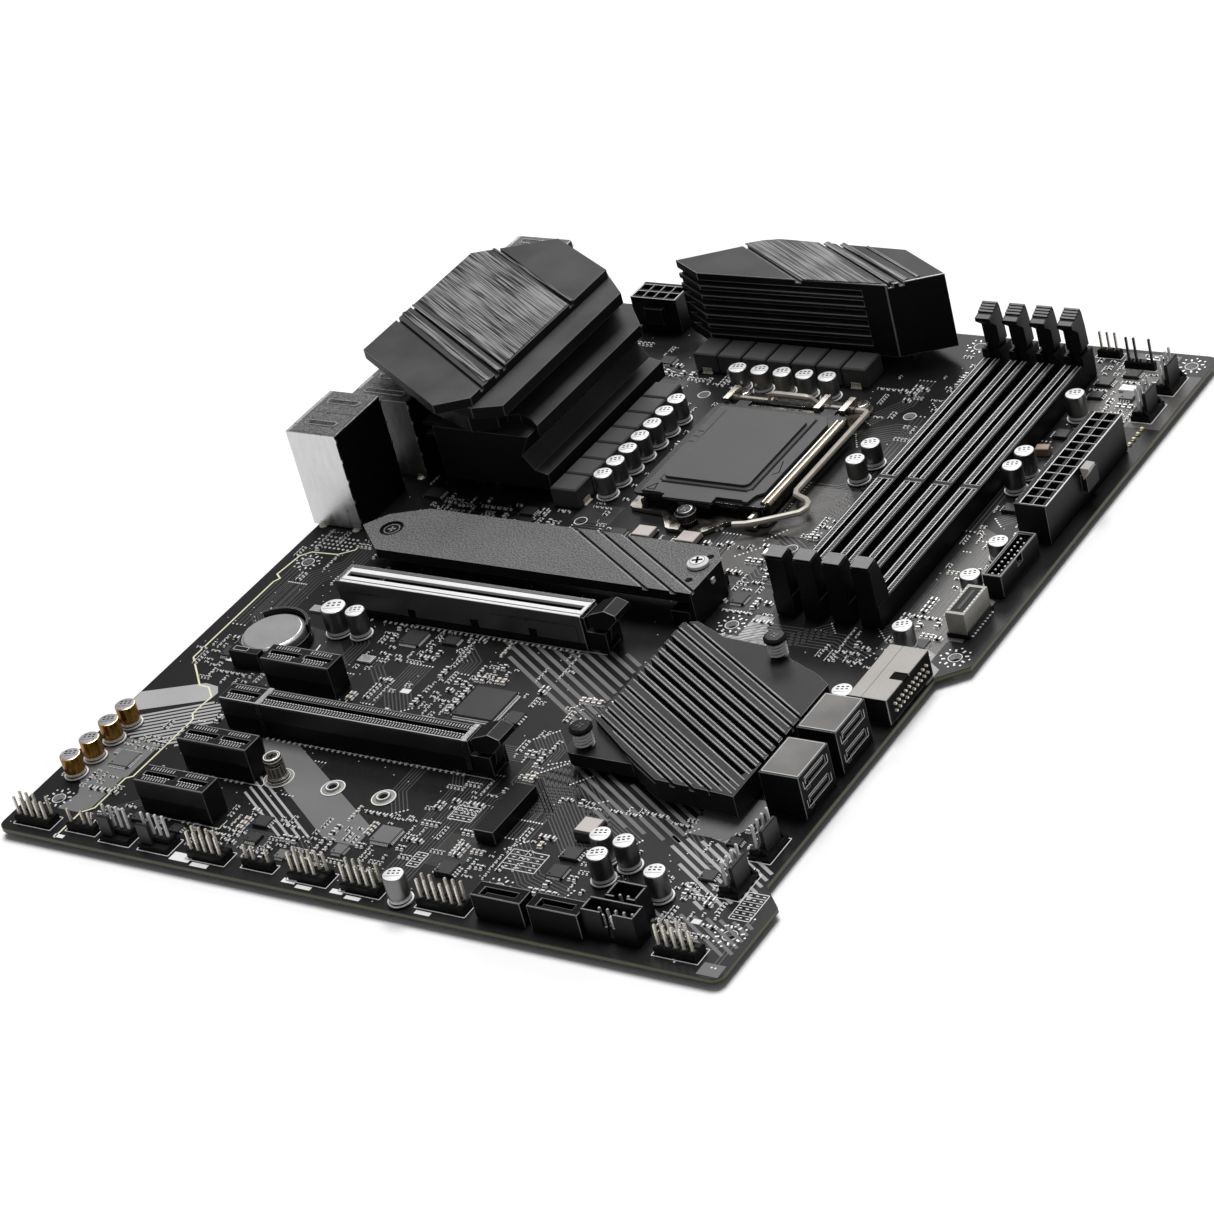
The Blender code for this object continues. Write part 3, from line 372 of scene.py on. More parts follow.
class Shape:
    """Closed solids gathered for one mesh."""

    def __init__(self):
        self.verts, self.faces = [], []

    def loft(self, rings):
        count, base, last = len(rings[0]), len(self.verts), len(rings) - 1
        self.verts += [point for ring in rings for point in ring]
        for k in range(last):
            a, b = base + k * count, base + (k + 1) * count
            self.faces += [(a + i, a + (i + 1) % count, b + (i + 1) % count, b + i) for i in range(count)]
        self.faces.append(tuple(base + i for i in reversed(range(count))))
        self.faces.append(tuple(base + last * count + i for i in range(count)))

    def prism(self, outline, z, chamfer=0.0):
        outline = anticlockwise(outline)
        rings = [[(*p, z[0]) for p in outline], [(*p, z[1] - chamfer) for p in outline]]
        if chamfer:
            rings.append([(*p, z[1]) for p in offset(outline, chamfer, True)])
        self.loft(rings)

    def box(self, x, y, z, chamfer=0.0):
        self.prism([(x[0], y[0]), (x[1], y[0]), (x[1], y[1]), (x[0], y[1])], z, chamfer)

    def block(self, cx, cy, sx, sy, z, chamfer=0.0, turn=0.0):
        self.prism(rect(cx, cy, sx, sy, turn), z, chamfer)

    def lathe(self, centre, profile, segments=20):
        """A turned solid from (radius, height) pairs that run upwards."""
        turns = circle(segments)
        self.loft([[(centre[0] + u * r, centre[1] + v * r, h) for u, v in turns] for r, h in profile])

    def ring(self, centre, outline, segments=24):
        """A turned ring from a closed (radius, height) outline; its middle stays open."""
        count, base = len(outline), len(self.verts)
        for i, (u, v) in enumerate(circle(segments)):
            self.verts += [(centre[0] + u * r, centre[1] + v * r, h) for r, h in outline]
            a, b = base + i * count, base + (i + 1) % segments * count
            self.faces += [(a + j, a + (j + 1) % count, b + (j + 1) % count, b + j) for j in range(count)]

    def washer(self, centre, radii, z):
        """A ring of rectangular section."""
        (low, high), (base, top) = radii, z
        self.ring(centre, [(low, base), (high, base), (high, top), (low, top)])

    def strip(self, points, width, z):
        """A flat strip along points in plan."""
        sides = zip(offset(points, width / 2), offset(points, -width / 2))
        self.loft([[(*a, z[0]), (*b, z[0]), (*b, z[1]), (*a, z[1])] for a, b in sides])

    def frame(self, x, y, width, z):
        """A printed outline."""
        for a, b in (((x[0], y[0]), (x[1], y[0])), ((x[0], y[1]), (x[1], y[1]))):
            self.strip([a, b], width, z)
        for at in x:
            self.strip([(at, y[0] + width / 2), (at, y[1] - width / 2)], width, z)

    def extrude(self, outline, ends, axis):
        """An outline in (y, z) drawn along X, or in (x, z) drawn along Y."""
        if axis == "X":
            self.loft([[(end, u, v) for u, v in outline] for end in ends])
        else:
            self.loft([[(u, end, v) for u, v in outline] for end in ends])


def make(name, shape, key, body):
    """One object from a shape, with its finish and body."""
    slot, surface = FINISHES[key]
    mesh = bpy.data.meshes.new(name)
    mesh.from_pydata([ORIGIN + Vector(p) * MM for p in shape.verts], [], shape.faces)
    bm = bmesh.new()
    bm.from_mesh(mesh)
    bmesh.ops.recalc_face_normals(bm, faces=bm.faces)
    bm.to_mesh(mesh)
    bm.free()
    mesh.shade_smooth()
    mesh.set_sharp_from_angle(angle=SHARP)
    mesh.materials.append(surface)
    made = bpy.data.objects.new(name, mesh)
    scene.collection.objects.link(made)
    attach(made, body)
    return made


class Group(dict):
    """The shapes of one kind of part, one for each finish; they become objects on one body."""

    def __init__(self, name, body="board"):
        super().__init__()
        self.name, self.body = name, body

    def __missing__(self, key):
        self[key] = Shape()
        return self[key]

    def build(self):
        return [make(f"{self.name}_{key}", shape, key, self.body) for key, shape in self.items()]


# ---- room on the board ----

taken = []


def claim(x, y, margin=0.0):
    taken.append((x[0] - margin, x[1] + margin, y[0] - margin, y[1] + margin))


def is_free(x, y):
    """Whether a rectangle is on the board and clear of all that is claimed."""
    inside = x[0] > 1.2 and y[0] > 1.2 and x[1] < 235.2 and y[1] < BOARD[1] - 1.5
    return inside and not any(x[0] < b and x[1] > a and y[0] < d and y[1] > c for a, b, c, d in taken)


CARD_SLOTS = ("pcie_x16_slot_upper", "pcie_x16_slot_lower", "pcie_x1_slot_1", "pcie_x1_slot_2",
              "pcie_x1_slot_3")
OVERHEAD = ("pcb", "m2_heatsink", "vrm_heatsink_io", "vrm_heatsink_top", "cpu_socket_backplate")
for node in frame["nodes"]:
    if node not in OVERHEAD and not node.startswith("m2_heatsink_screw"):
        x, y, z = span(node)
        if z[1] > 0.5:
            claim(x, y, 0.6)
claim((32.0, 74.0), (186.0, 262.0))
claim((64.0, 162.0), (279.0, 304.0))
MOUNTS = [(x, y) for x in (10.16, 165.1, 237.49) for y in (16.51, 140.97, 298.45)]
COOLER = [(SOCKET[0] + i * 37.5, SOCKET[1] + j * 37.5) for i in (-1, 1) for j in (-1, 1)]
for x, y in MOUNTS + COOLER:
    claim((x - 4.6, x + 4.6), (y - 4.6, y + 4.6))


# ---- CAD nodes: bevelled edges and finishes ----

SLOT_FINISH = {"laminate": "board", "black_plastic": "plastic", "grey_plastic": "pale_plastic",
               "cover_plastic": "cover", "heatsink_aluminium": "anodised", "steel": "steel",
               "connector_shell": "shell", "gilt_metal": "pale_gold"}
# Finishes of the bevelled edges; where lighter than the face they paint a highlight along the edge, and on
# the heatsinks also stand for a bright machined chamfer
EDGE_FINISH = {"laminate": "board", "black_plastic": "edge", "grey_plastic": "pale_plastic",
               "cover_plastic": "cover_edge", "heatsink_aluminium": "machined", "steel": "polished",
               "connector_shell": "shell", "gilt_metal": "pale_gold"}
# Darker finishes for upright faces: painted shade on the walls of heatsinks and of grey plastic
PAINTED_SHADE_WALL_FINISH = {"heatsink_aluminium": "wall", "grey_plastic": "shadow_plastic"}
# nodes whose bevelled edges keep the face finish, with no painted edge highlight
PLAIN_EDGED = ("dimm_slot", "usb_c_header", "m2_heatsink_screw", "chipset_screw")
NODE_FINISH = {"cmos_battery": "cell", "io_lan_usb_stack": "dim_shell", "pcie_x16_armour": "dark_steel",
               "usb_c_header": "nickel", "chipset_heatsink": "dark_anodised", "m2_heatsink": "sandblast",
               "cpu_socket_backplate": "dull_steel", "m2_standoff": "dull_steel",
               "socket_load_plate": "plate_steel", "socket_load_lever": "wire",
               "socket_shoulder_screw": "black_steel",
               "chipset_screw_left": "black_steel", "chipset_screw_right": "black_steel",
               "m2_heatsink_screw_left": "black_steel", "m2_heatsink_screw_right": "bright",
               "chipset_spring_left": "bright", "chipset_spring_right": "bright",
               "sata_stack_1": "matt_plastic", "sata_stack_2": "matt_plastic", "sata_port_5": "matt_plastic",
               "sata_port_6": "matt_plastic"}
BEVEL = {"vrm_heatsink_io": 0.35, "vrm_heatsink_top": 0.3, "m2_heatsink": 0.25, "chipset_heatsink": 0.2,
         "socket_cover": 0.3, "pcb": 0.0, "cmos_battery": 0.15, "socket_load_lever": 0.0,
         "chipset_spring_left": 0.0, "chipset_spring_right": 0.0, "battery_holder": 0.25,
         "m2_heatsink_screw_left": 0.0, "atx_power_connector": 0.1, "cpu_power_connector": 0.1}
for part in frame["record"]["subparts"]:
    node = frame["nodes"][part["node"]]
    slot = part["material_slot"]
    node.data.materials.clear()
    face = NODE_FINISH.get(node.name, SLOT_FINISH[slot])
    edge = "soft_edge" if node.name == "vrm_heatsink_io" else EDGE_FINISH[slot]
    for key in (face, face if node.name.startswith(PLAIN_EDGED) else edge):
        node.data.materials.append(FINISHES[key][1])
    if slot in PAINTED_SHADE_WALL_FINISH:
        node.data.materials.append(FINISHES[PAINTED_SHADE_WALL_FINISH[slot]][1])
        # faces that stand upright take the darker wall finish, painted shade
        for polygon in node.data.polygons:
            polygon.material_index = 2 if abs(polygon.normal.z) < 0.5 else 0
    weld = node.modifiers.new("weld", "WELD")
    weld.merge_threshold = 0.000002
    width = BEVEL.get(node.name, 0.2 if "plastic" in slot else 0.12)
    if width:
        bevel = node.modifiers.new("edge", "BEVEL")
        bevel.width = width * MM
        bevel.segments = 2
        bevel.limit_method = "ANGLE"
        bevel.angle_limit = math.radians(30)
        # bevel faces take the edge finish, a painted highlight where it is lighter
        bevel.material = 1
    else:
        node.modifiers.new("split", "EDGE_SPLIT").split_angle = SHARP
    node.modifiers.new("normals", "WEIGHTED_NORMAL").weight = 100


# ---- printed board ----

FILL_Z, TRACE_Z, INK_Z, LINE_Z = [(SUNK, top) for top in (0.02, 0.03, 0.045, 0.06)]
TRACES = [
    ([(9, 158), (9, 106)], 4, 1.5), ([(26, 156), (26, 142), (18, 134), (18, 116)], 7, 1.3),
    ([(82, 101), (82, 88), (89, 79)], 8, 1.1), ([(68, 101), (68, 97), (77, 88), (77, 80)], 4, 1.2),
    ([(62, 92), (62, 84), (66, 79)], 3, 1.1), ([(90, 112), (97, 106), (97, 100)], 5, 1.2),
    ([(134, 60), (134, 10)], 9, 1.15), ([(146, 66), (146, 56), (142, 50), (142, 36)], 4, 1.1),
    ([(152, 70), (158, 60), (158, 36)], 8, 1.2), ([(112, 58), (112, 46), (118, 38)], 5, 1.1),
    ([(124, 59), (128, 52), (128, 30)], 4, 1), ([(172, 56), (180, 44), (180, 36)], 6, 1.2),
    ([(160, 34), (172, 22), (186, 18)], 7, 1.1), ([(96, 20), (108, 10)], 5, 1.1),
    ([(150, 198), (158, 198), (170, 206), (176, 206)], 8, 1.35),
    ([(150, 212), (160, 212), (168, 218), (176, 218)], 5, 1.35),
    ([(152, 240), (162, 246), (176, 246)], 8, 1.3), ([(154, 186), (166, 178), (176, 178)], 7, 1.3),
    ([(150, 176), (160, 166), (176, 166)], 7, 1.3),
    ([(120, 164), (132, 164), (140, 172), (140, 184)], 6, 1.2),
    ([(86, 176), (100, 176), (106, 168), (106, 162)], 6, 1.2), ([(62, 162), (62, 172), (70, 180)], 5, 1.2),
    ([(212, 146), (222, 156), (222, 196)], 7, 1.3), ([(212, 200), (212, 250)], 3, 1.4),
    ([(218, 206), (224, 212), (224, 246)], 5, 1.2), ([(214, 262), (226, 262), (234, 270)], 4, 1.3),
    ([(166, 134), (176, 140), (200, 140), (212, 134)], 7, 1.3), ([(196, 30), (210, 12)], 4, 1.1),
    ([(184, 136), (196, 146)], 5, 1.3), ([(220, 140), (230, 148), (230, 168)], 4, 1.2),
    ([(44, 128), (44, 118), (56, 106), (56, 94)], 5, 1.2), ([(30, 60), (30, 50), (36, 46)], 3, 1.1),
    ([(80, 52), (80, 36)], 4, 1.2), ([(168, 262), (176, 270), (176, 284)], 5, 1.3),
    ([(166, 190), (166, 256)], 3, 1.5), ([(84, 162), (96, 174)], 5, 1.2), ([(26, 12), (38, 22)], 4, 1),
    ([(150, 250), (158, 262), (158, 276)], 5, 1.3), ([(64, 268), (76, 264), (76, 258)], 4, 1.2),
    ([(205, 52), (216, 42), (222, 42)], 4, 1.2), ([(40, 176), (56, 176)], 4, 1.3),
    ([(228, 4), (236, 12), (236, 20)], 3, 1.1), ([(240, 4), (240, 24)], 2, 1.1),
    ([(46, 140), (46, 134)], 8, 1.6), ([(90, 136), (96, 130)], 8, 1.4),
    ([(140, 80), (146, 74), (146, 60), (158, 48), (158, 44)], 9, 0.95),
    ([(150, 66), (168, 48), (180, 36)], 12, 0.95), ([(162, 64), (178, 50), (192, 42)], 8, 0.95),
    ([(142, 96), (152, 90)], 9, 0.9), ([(216, 140), (216, 190)], 3, 1.1),
    ([(118, 62), (130, 70), (140, 70)], 7, 0.95), ([(14, 130), (14, 112), (26, 100), (26, 92)], 9, 0.85),
]


def clipped(region, through, slope):
    """The stretch of a slanted line inside a convex region, or None."""
    cuts = []
    for (ax, ay), (bx, by) in zip(region, region[1:] + region[:1]):
        da = (ay - through[1]) - slope * (ax - through[0])
        db = (by - through[1]) - slope * (bx - through[0])
        if da * db < 0:
            t = da / (da - db)
            cuts.append((ax + (bx - ax) * t, ay + (by - ay) * t))
    return sorted(cuts)[:2] if len(cuts) >= 2 else None


def stripes(shape, region, slope, pitch, width):
    """Slanted printed stripes that fill a convex region."""
    levels = [y - slope * x for x, y in region]
    step = pitch * math.hypot(1.0, slope)
    for k in range(int((max(levels) - min(levels)) / step)):
        level = min(levels) + step * (k + 0.5)
        ends = clipped(region, (0.0, level), slope)
        if ends and math.dist(*ends) > 2 * width:
            shape.strip(ends, width, INK_Z)


def make_print():
    art = Group("board_print")
    art["pale_ink"].prism([(0.3, 58.4), (3.5, 58.6), (25.4, 69.6), (25.8, 73.4), (23.6, 76.2), (18.6, 76.8),
                           (0.3, 68.0)], INK_Z)
    art["ink"].prism([(54.5, 57.6), (68.0, 57.6), (114.6, 29.4), (114.6, 21.4), (103.6, 21.4),
                      (66.5, 45.0)], INK_Z)
    stripes(art["pale_ink"], [(8.0, 50.0), (12.0, 47.4), (31.0, 47.4), (34.0, 60.0), (32.0, 69.0),
                              (26.0, 69.0), (6.0, 58.0)], 0.6, 1.75, 1.0)
    for k in range(4):
        art["pale_ink"].strip([(66.0, 41.5 - 2.5 * k), (98.5 - 3.0 * k, 21.0 - 0.6 * k)], 0.75, INK_Z)
    stripes(art["ink"], [(93.0, 120.6), (149.0, 120.6), (149.0, 86.0), (124.0, 99.0)], DIAGONAL, 2.9, 1.25)
    stripes(art["ink"], [(151.0, 73.5), (176.0, 66.0), (204.0, 66.0), (204.0, 46.0), (176.0, 50.0)], DIAGONAL,
            2.6, 1.15)
    stripes(art["pale_ink"], [(199.0, 49.0), (222.0, 49.0), (235.6, 44.0), (235.6, 31.0), (224.0, 23.0)],
            DIAGONAL, 2.3, 1.0)
    stripes(art["ink"], [(206.0, 20.0), (214.0, 20.0), (242.0, 22.0), (242.0, 8.5), (228.0, 10.0)], DIAGONAL,
            2.2, 1.0)
    art["ink"].prism([(203.2, 51.0), (203.2, 69.0), (221.2, 69.0), (219.4, 56.5), (216.0, 51.0)], INK_Z)
    art["ink"].prism([(236.6, 0.8), (243.0, 0.8), (243.0, 5.4), (236.6, 5.4)], INK_Z)
    art["yellow_ink"].strip([(21.8, 153.8), (22.0, 150.4), (17.6, 146.8), (7.8, 146.2), (5.0, 143.4),
                             (3.9, 132.8), (6.4, 131.0), (5.4, 128.8), (5.4, 87.4), (17.2, 75.4),
                             (20.8, 75.2), (25.0, 71.2), (24.5, 62.4), (26.6, 60.0), (26.4, 31.4),
                             (24.6, 30.0), (24.6, 15.6), (21.6, 12.6), (21.6, 0.6)], 0.55, LINE_Z)
    art["ink"].prism([(9.0, 47.0), (24.6, 47.0), (24.6, 31.0), (23.6, 30.0), (23.6, 15.5), (20.6, 12.5),
                      (13.0, 12.5), (14.6, 20.0), (11.6, 25.0), (5.0, 27.0)], (SUNK, 0.035))
    art["white_ink"].strip(arc(CELL, 14.0, -62, 21), 0.45, LINE_Z)
    art["pale_ink"].prism([(223.8, 144.8), (231.5, 140.9), (231.6, 137.5), (235.8, 134.6), (235.8, 127.0),
                           (233.0, 132.6), (224.0, 134.0)], INK_Z)
    for x, y, sx, sy in ((66.6, 3.4, 7.0, 3.4), (74.2, 1.7, 6.0, 1.6), (105.0, 3.0, 4.6, 1.8),
                         (110.8, 1.7, 5.2, 1.4), (121.6, 2.8, 4.2, 1.8), (127.6, 1.6, 5.0, 1.4),
                         (151.0, 1.6, 5.0, 1.4), (22.6, 1.6, 3.6, 1.4), (18.6, 89.6, 3.4, 2.2),
                         (84.8, 88.4, 3.2, 2.0), (226.0, 19.0, 2.6, 1.8)):
        art["white_ink"].block(x, y, sx, sy, LINE_Z)
    for x, y, rows, columns in (((133.4, 141.0), (39.2, 45.2), 3, 4), ((160.2, 171.8), (24.4, 32.4), 4, 3),
                                ((233.4, 239.6), (22.6, 33.4), 6, 3), ((134.0, 137.6), (18.0, 24.0), 3, 2)):
        art["white_ink"].frame(x, y, 0.25, LINE_Z)
        for k in range(1, rows):
            at = y[0] + (y[1] - y[0]) * k / rows
            art["white_ink"].strip([(x[0] + 0.2, at), (x[1] - 0.2, at)], 0.18, LINE_Z)
        for i in range(columns):
            for k in range(rows):
                px = x[0] + (x[1] - x[0]) * (i + 0.5) / columns
                py = y[0] + (y[1] - y[0]) * (k + 0.5) / rows
                art["white_ink"].block(px, py, 0.9, 0.35, LINE_Z)
    for slot in CARD_SLOTS:
        x, y, _ = span(slot)
        if "x16" in slot:
            line = [(x[0] + 26.0, y[0] - 0.9), (x[1] - 0.5, y[0] - 0.9)]
        else:
            line = [(x[0] - 0.8, y[0] - 0.9), (x[1] + 3.0, y[0] - 0.9), (x[1] + 3.0, y[0] + 3.0)]
        art["white_ink"].strip(line, 0.22, LINE_Z)
    return art


# Patches on the board: sheen and soft_sheen paint reflections, foil is a streaked finish
PAINTED_SHEENS_AND_FOIL = [
    ("sheen", [(213.4, 137.0), (231.6, 137.0), (231.6, 148.0), (236.0, 148.0), (236.0, 168.6), (228.0, 172.0),
               (228.0, 196.0), (213.4, 204.0)]),
    ("sheen", [(206.4, 262.0), (232.4, 262.0), (232.4, 303.0), (206.4, 303.0)]),
    ("soft_sheen", [(232.4, 262.0), (243.5, 262.0), (243.5, 292.6), (232.4, 292.6)]),
    ("soft_sheen", [(151.0, 186.4), (176.0, 186.4), (176.0, 213.0), (151.0, 213.0)]),
    ("soft_sheen", [(143.0, 166.0), (157.0, 166.0), (157.0, 184.0), (143.0, 184.0)]),
    ("foil", [(169.8, 128.2), (172.0, 127.8), (180.0, 128.4), (184.4, 134.6), (176.4, 141.6), (176.0, 147.2),
              (169.8, 147.2)]),
    ("foil", [(156.6, 130.6), (159.8, 133.2), (160.2, 136.2), (169.8, 136.2), (169.8, 128.6),
              (166.0, 130.6)]),
    ("foil", [(204.0, 52.7), (217.5, 49.6), (215.6, 54.8), (208.0, 56.6), (204.0, 58.6)]),
]


def make_copper():
    copper = Group("board_copper")
    for points, count, pitch in TRACES:
        for k in range(count):
            line = offset(points, (k - (count - 1) / 2) * pitch)
            copper["trace"].strip(line, 0.34, TRACE_Z)
            for end in (line[0], line[-1]):
                copper["tin"].lathe(end, [(0.3, SUNK), (0.3, 0.05)], 8)
    for area in ([(28, 80), (58, 80), (58, 96), (46, 108), (28, 112)],
                 [(56, 66), (100, 66), (100, 76), (56, 76)], [(84, 180), (98, 180), (98, 190), (84, 190)],
                 [(152, 148), (174, 148), (174, 160), (152, 160)],
                 [(62, 244), (78, 244), (78, 262), (62, 262)],
                 [(138, 20), (150, 20), (150, 34), (138, 34)], [(76, 8), (88, 8), (88, 20), (76, 20)]):
        copper["copper_fill"].prism(area, FILL_Z)
    for key, area in PAINTED_SHEENS_AND_FOIL:
        copper[key].prism(area, FILL_Z)
    # plated barrels in the holes, in a bright finish that also paints light into the holes
    for x, y in MOUNTS + COOLER:
        copper["bright"].washer((x, y), (1.88, 2.12), (UNDER + SUNK, 0.04))
    for x, y in MOUNTS:
        for k in range(8):
            turn = math.pi * (k + 0.5) / 4
            copper["tin"].block(x + 3.35 * math.cos(turn), y + 3.35 * math.sin(turn), 1.15, 0.6, (SUNK, 0.1),
                                0.04, turn)
            copper["tin"].lathe((x + 4.4 * math.cos(turn + 0.4), y + 4.4 * math.sin(turn + 0.4)),
                                [(0.32, SUNK), (0.32, 0.07)], 8)
    for i in range(9):
        for j in range(4):
            copper["tin"].lathe((5.4 + 1.75 * i, 149.6 + 1.9 * j), [(0.5, SUNK), (0.42, 0.08)], 10)
    for _ in range(900):
        x, y = rng.uniform(2, 234), rng.uniform(2, 302)
        if is_free((x - 0.4, x + 0.4), (y - 0.4, y + 0.4)):
            copper["tin"].lathe((x, y), [(0.2, SUNK), (0.2, 0.04)], 6)
            copper["tin"].lathe((x, y), [(0.22, UNDER - 0.04), (0.22, UNDER + 0.02)], 6)
    return copper


# ---- small parts ----

parts = Group("chip_parts")


def chip_part(cx, cy, length, width, height, upright, body):
    """A chip resistor or capacitor with tinned ends on its solder pads."""
    cap = length * 0.25
    size = (width, length) if upright else (length, width)
    reach = (length - cap) / 2
    for side in (-1, 1):
        ex, ey = (cx, cy + side * reach) if upright else (cx + side * reach, cy)
        end = (width * 1.04, cap) if upright else (cap, width * 1.04)
        parts["tin"].block(ex, ey, *end, (0.0, height * 1.04))
        out = 0.16 * side
        pad = (width * 1.25, cap + 0.3) if upright else (cap + 0.3, width * 1.25)
        parts["tin"].block(ex + (0 if upright else out), ey + (out if upright else 0), *pad, (SUNK, 0.1))
    inner = (size[0] * 0.96, size[1] - 1.8 * cap) if upright else (size[0] - 1.8 * cap, size[1] * 0.96)
    parts[body].block(cx, cy, *inner, (0.02, height))


SIZES = ((1.0, 0.5, 0.4),) * 3 + ((1.3, 0.65, 0.45), (1.6, 0.8, 0.55), (2.0, 1.25, 0.8))


def scatter(x, y, runs):
    """Rows of chip parts at free places in a rectangle."""
    for _ in range(runs):
        length, width, height = SIZES[rng.randrange(len(SIZES))]
        upright, along_x = rng.random() < 0.5, rng.random() < 0.5
        body = rng.choice(("ceramic",) + ("dark_ceramic",) * 5)
        sx, sy = (width, length) if upright else (length, width)
        at = [rng.uniform(*x), rng.uniform(*y)]
        for _ in range(rng.randint(2, 5)):
            room = (around(at[0], sx, 0.35), around(at[1], sy, 0.35))
            if at[0] < x[1] + 1 and at[1] < y[1] + 1 and is_free(*room):
                chip_part(*at, length, width, height, upright, body)
                claim(*room)
            at[0 if along_x else 1] += (sx if along_x else sy) + 0.75


def package(cx, cy, sx, sy, height, across, up, out, body="epoxy"):
    """A moulded chip, with leads on two or four sides and a dimple by the first."""
    parts[body].block(cx, cy, sx, sy, (0.08, height), 0.14)
    dimple = [(0.32, at) for at in lid(height, 0.01, 0.05)]
    parts["dark_ink"].lathe((cx - sx / 2 + 0.9, cy - sy / 2 + 0.9), dimple, 12)
    for count, length, half, flat in ((across, sx, sy / 2, True), (up, sy, sx / 2, False)):
        if not count:
            continue
        pitch = (length - 0.8) / count
        for k in range(count):
            at = (k - (count - 1) / 2) * pitch
            for side in (-1, 1):
                for reach, deep, z in ((half + out * 0.2, out * 0.5, (height * 0.35, height * 0.55)),
                                       (half + out * 0.7, out * 0.6, (0.0, height * 0.3))):
                    place = (cx + at, cy + side * reach) if flat else (cx + side * reach, cy + at)
                    size = (pitch * 0.5, deep) if flat else (deep, pitch * 0.5)
                    parts["tin"].block(*place, *size, z)
    claim(around(cx, sx, out), around(cy, sy, out), 0.3)


PACKAGES = [
    (114, 87.5, 14, 14, 1.5, 32, 32, 1), (71.6, 112, 7, 7, 1, 14, 14, 0.5),
    (84.5, 113.5, 5, 4, 1, 0, 6, 0.6), (18.6, 37.4, 7, 7, 1, 12, 12, 0.8, "grey_epoxy"),
    (121, 27.4, 7, 7, 1, 12, 12, 0.6, "grey_epoxy"), (178.4, 26.6, 5, 5, 0.9, 10, 10, 0.4),
    (147.6, 18.8, 5.4, 5.2, 1.7, 0, 4, 1.2), (81.2, 23, 5, 4.4, 1.2, 0, 4, 0.8),
    (83, 16, 4.4, 3.6, 1, 6, 0, 0.6), (111.4, 18.4, 4, 4, 0.9, 8, 8, 0.4, "grey_epoxy"),
    (42.4, 15, 4.4, 3.4, 1.1, 0, 4, 0.7), (57, 13.6, 3.6, 3.4, 1, 0, 3, 0.7),
    (126.2, 84, 5.2, 5.4, 1, 0, 4, 0.7), (219.4, 50.4, 4, 3.4, 1, 0, 4, 0.6),
    (219.8, 36, 4.4, 4, 1, 0, 4, 0.6), (178.2, 34, 5.4, 4.6, 1.2, 0, 4, 0.8),
    (104, 176, 5, 5, 0.9, 8, 8, 0.4), (68, 181, 5, 4, 1.2, 0, 4, 0.7), (45, 168, 7, 7, 1, 14, 14, 0.6),
    (170, 180, 4, 4, 0.9, 8, 8, 0.4), (219, 213, 5, 4, 1.2, 0, 4, 0.8), (219.6, 254, 4, 4, 0.9, 8, 8, 0.4),
    (222, 290, 5, 4, 1.2, 0, 4, 0.8), (64, 272, 5, 4.6, 1, 8, 8, 0.5), (30, 184, 6, 5, 1.2, 0, 6, 0.7),
    (16, 92, 3.6, 5, 1.2, 4, 0, 0.7), (133.4, 186.4, 4, 4, 0.9, 8, 8, 0.4),
    (161, 152.6, 4.6, 4.6, 0.9, 8, 8, 0.5), (225.4, 144, 4, 4, 0.9, 8, 8, 0.4),
    (35, 134.4, 4.6, 4.6, 0.9, 8, 8, 0.4), (215.4, 284.2, 5, 4.4, 1.2, 0, 4, 0.9),
    (216.1, 276.4, 4.4, 3.6, 1.2, 0, 3, 0.8), (226.2, 277.4, 4.4, 4, 1.2, 4, 0, 0.8, "grey_epoxy"),
    (215.6, 253.6, 4.6, 4.2, 1.3, 0, 4, 1.1), (96, 12, 3.6, 3.6, 0.9, 6, 6, 0.4, "grey_epoxy"),
    (212.4, 8.6, 4, 3.4, 1, 0, 4, 0.6),
]
CLUSTERS = [
    ((211, 224), (279, 298), 70), ((220, 232), (262, 292), 50), ((60, 68), (94, 117), 26),
    ((68, 84), (101, 108), 16), ((77, 93), (104, 118), 22), ((91, 105), (78, 106), 46),
    ((100, 114), (96, 105), 26), ((118, 130), (86, 118), 12), ((7, 15), (84, 101), 24),
    ((13, 36), (78, 92), 30), ((4, 26), (42, 50), 22), ((3, 26), (22, 33), 22), ((27, 62), (8, 19), 34),
    ((62, 104), (8, 27), 60), ((104, 132), (10, 36), 44), ((124, 146), (34, 60), 20),
    ((136, 147), (54, 80), 26), ((146, 168), (16, 40), 34), ((170, 192), (14, 32), 18),
    ((160, 204), (52, 66), 30), ((204, 234), (6, 22), 34), ((212, 232), (22, 58), 36),
    ((64, 84), (80, 92), 14), ((30, 60), (162, 188), 50), ((60, 104), (164, 186), 50),
    ((104, 150), (162, 180), 40), ((150, 176), (142, 170), 26), ((152, 176), (170, 200), 22),
    ((198, 222), (116, 147), 40), ((212, 230), (134, 200), 50), ((212, 229), (200, 262), 40),
    ((205, 240), (262, 303), 70), ((160, 206), (290, 303), 30), ((60, 82), (262, 286), 30),
    ((60, 100), (256, 270), 22), ((20, 42), (262, 302), 30), ((140, 176), (256, 292), 30),
    ((148, 176), (200, 256), 20), ((84, 100), (186, 262), 18), ((3, 40), (122, 158), 18),
    ((40, 130), (126, 136), 30), ((22, 34), (186, 262), 20), ((84, 92), (66, 78), 4),
    ((140, 160), (78, 100), 10), ((2, 240), (2, 303), 90),
]
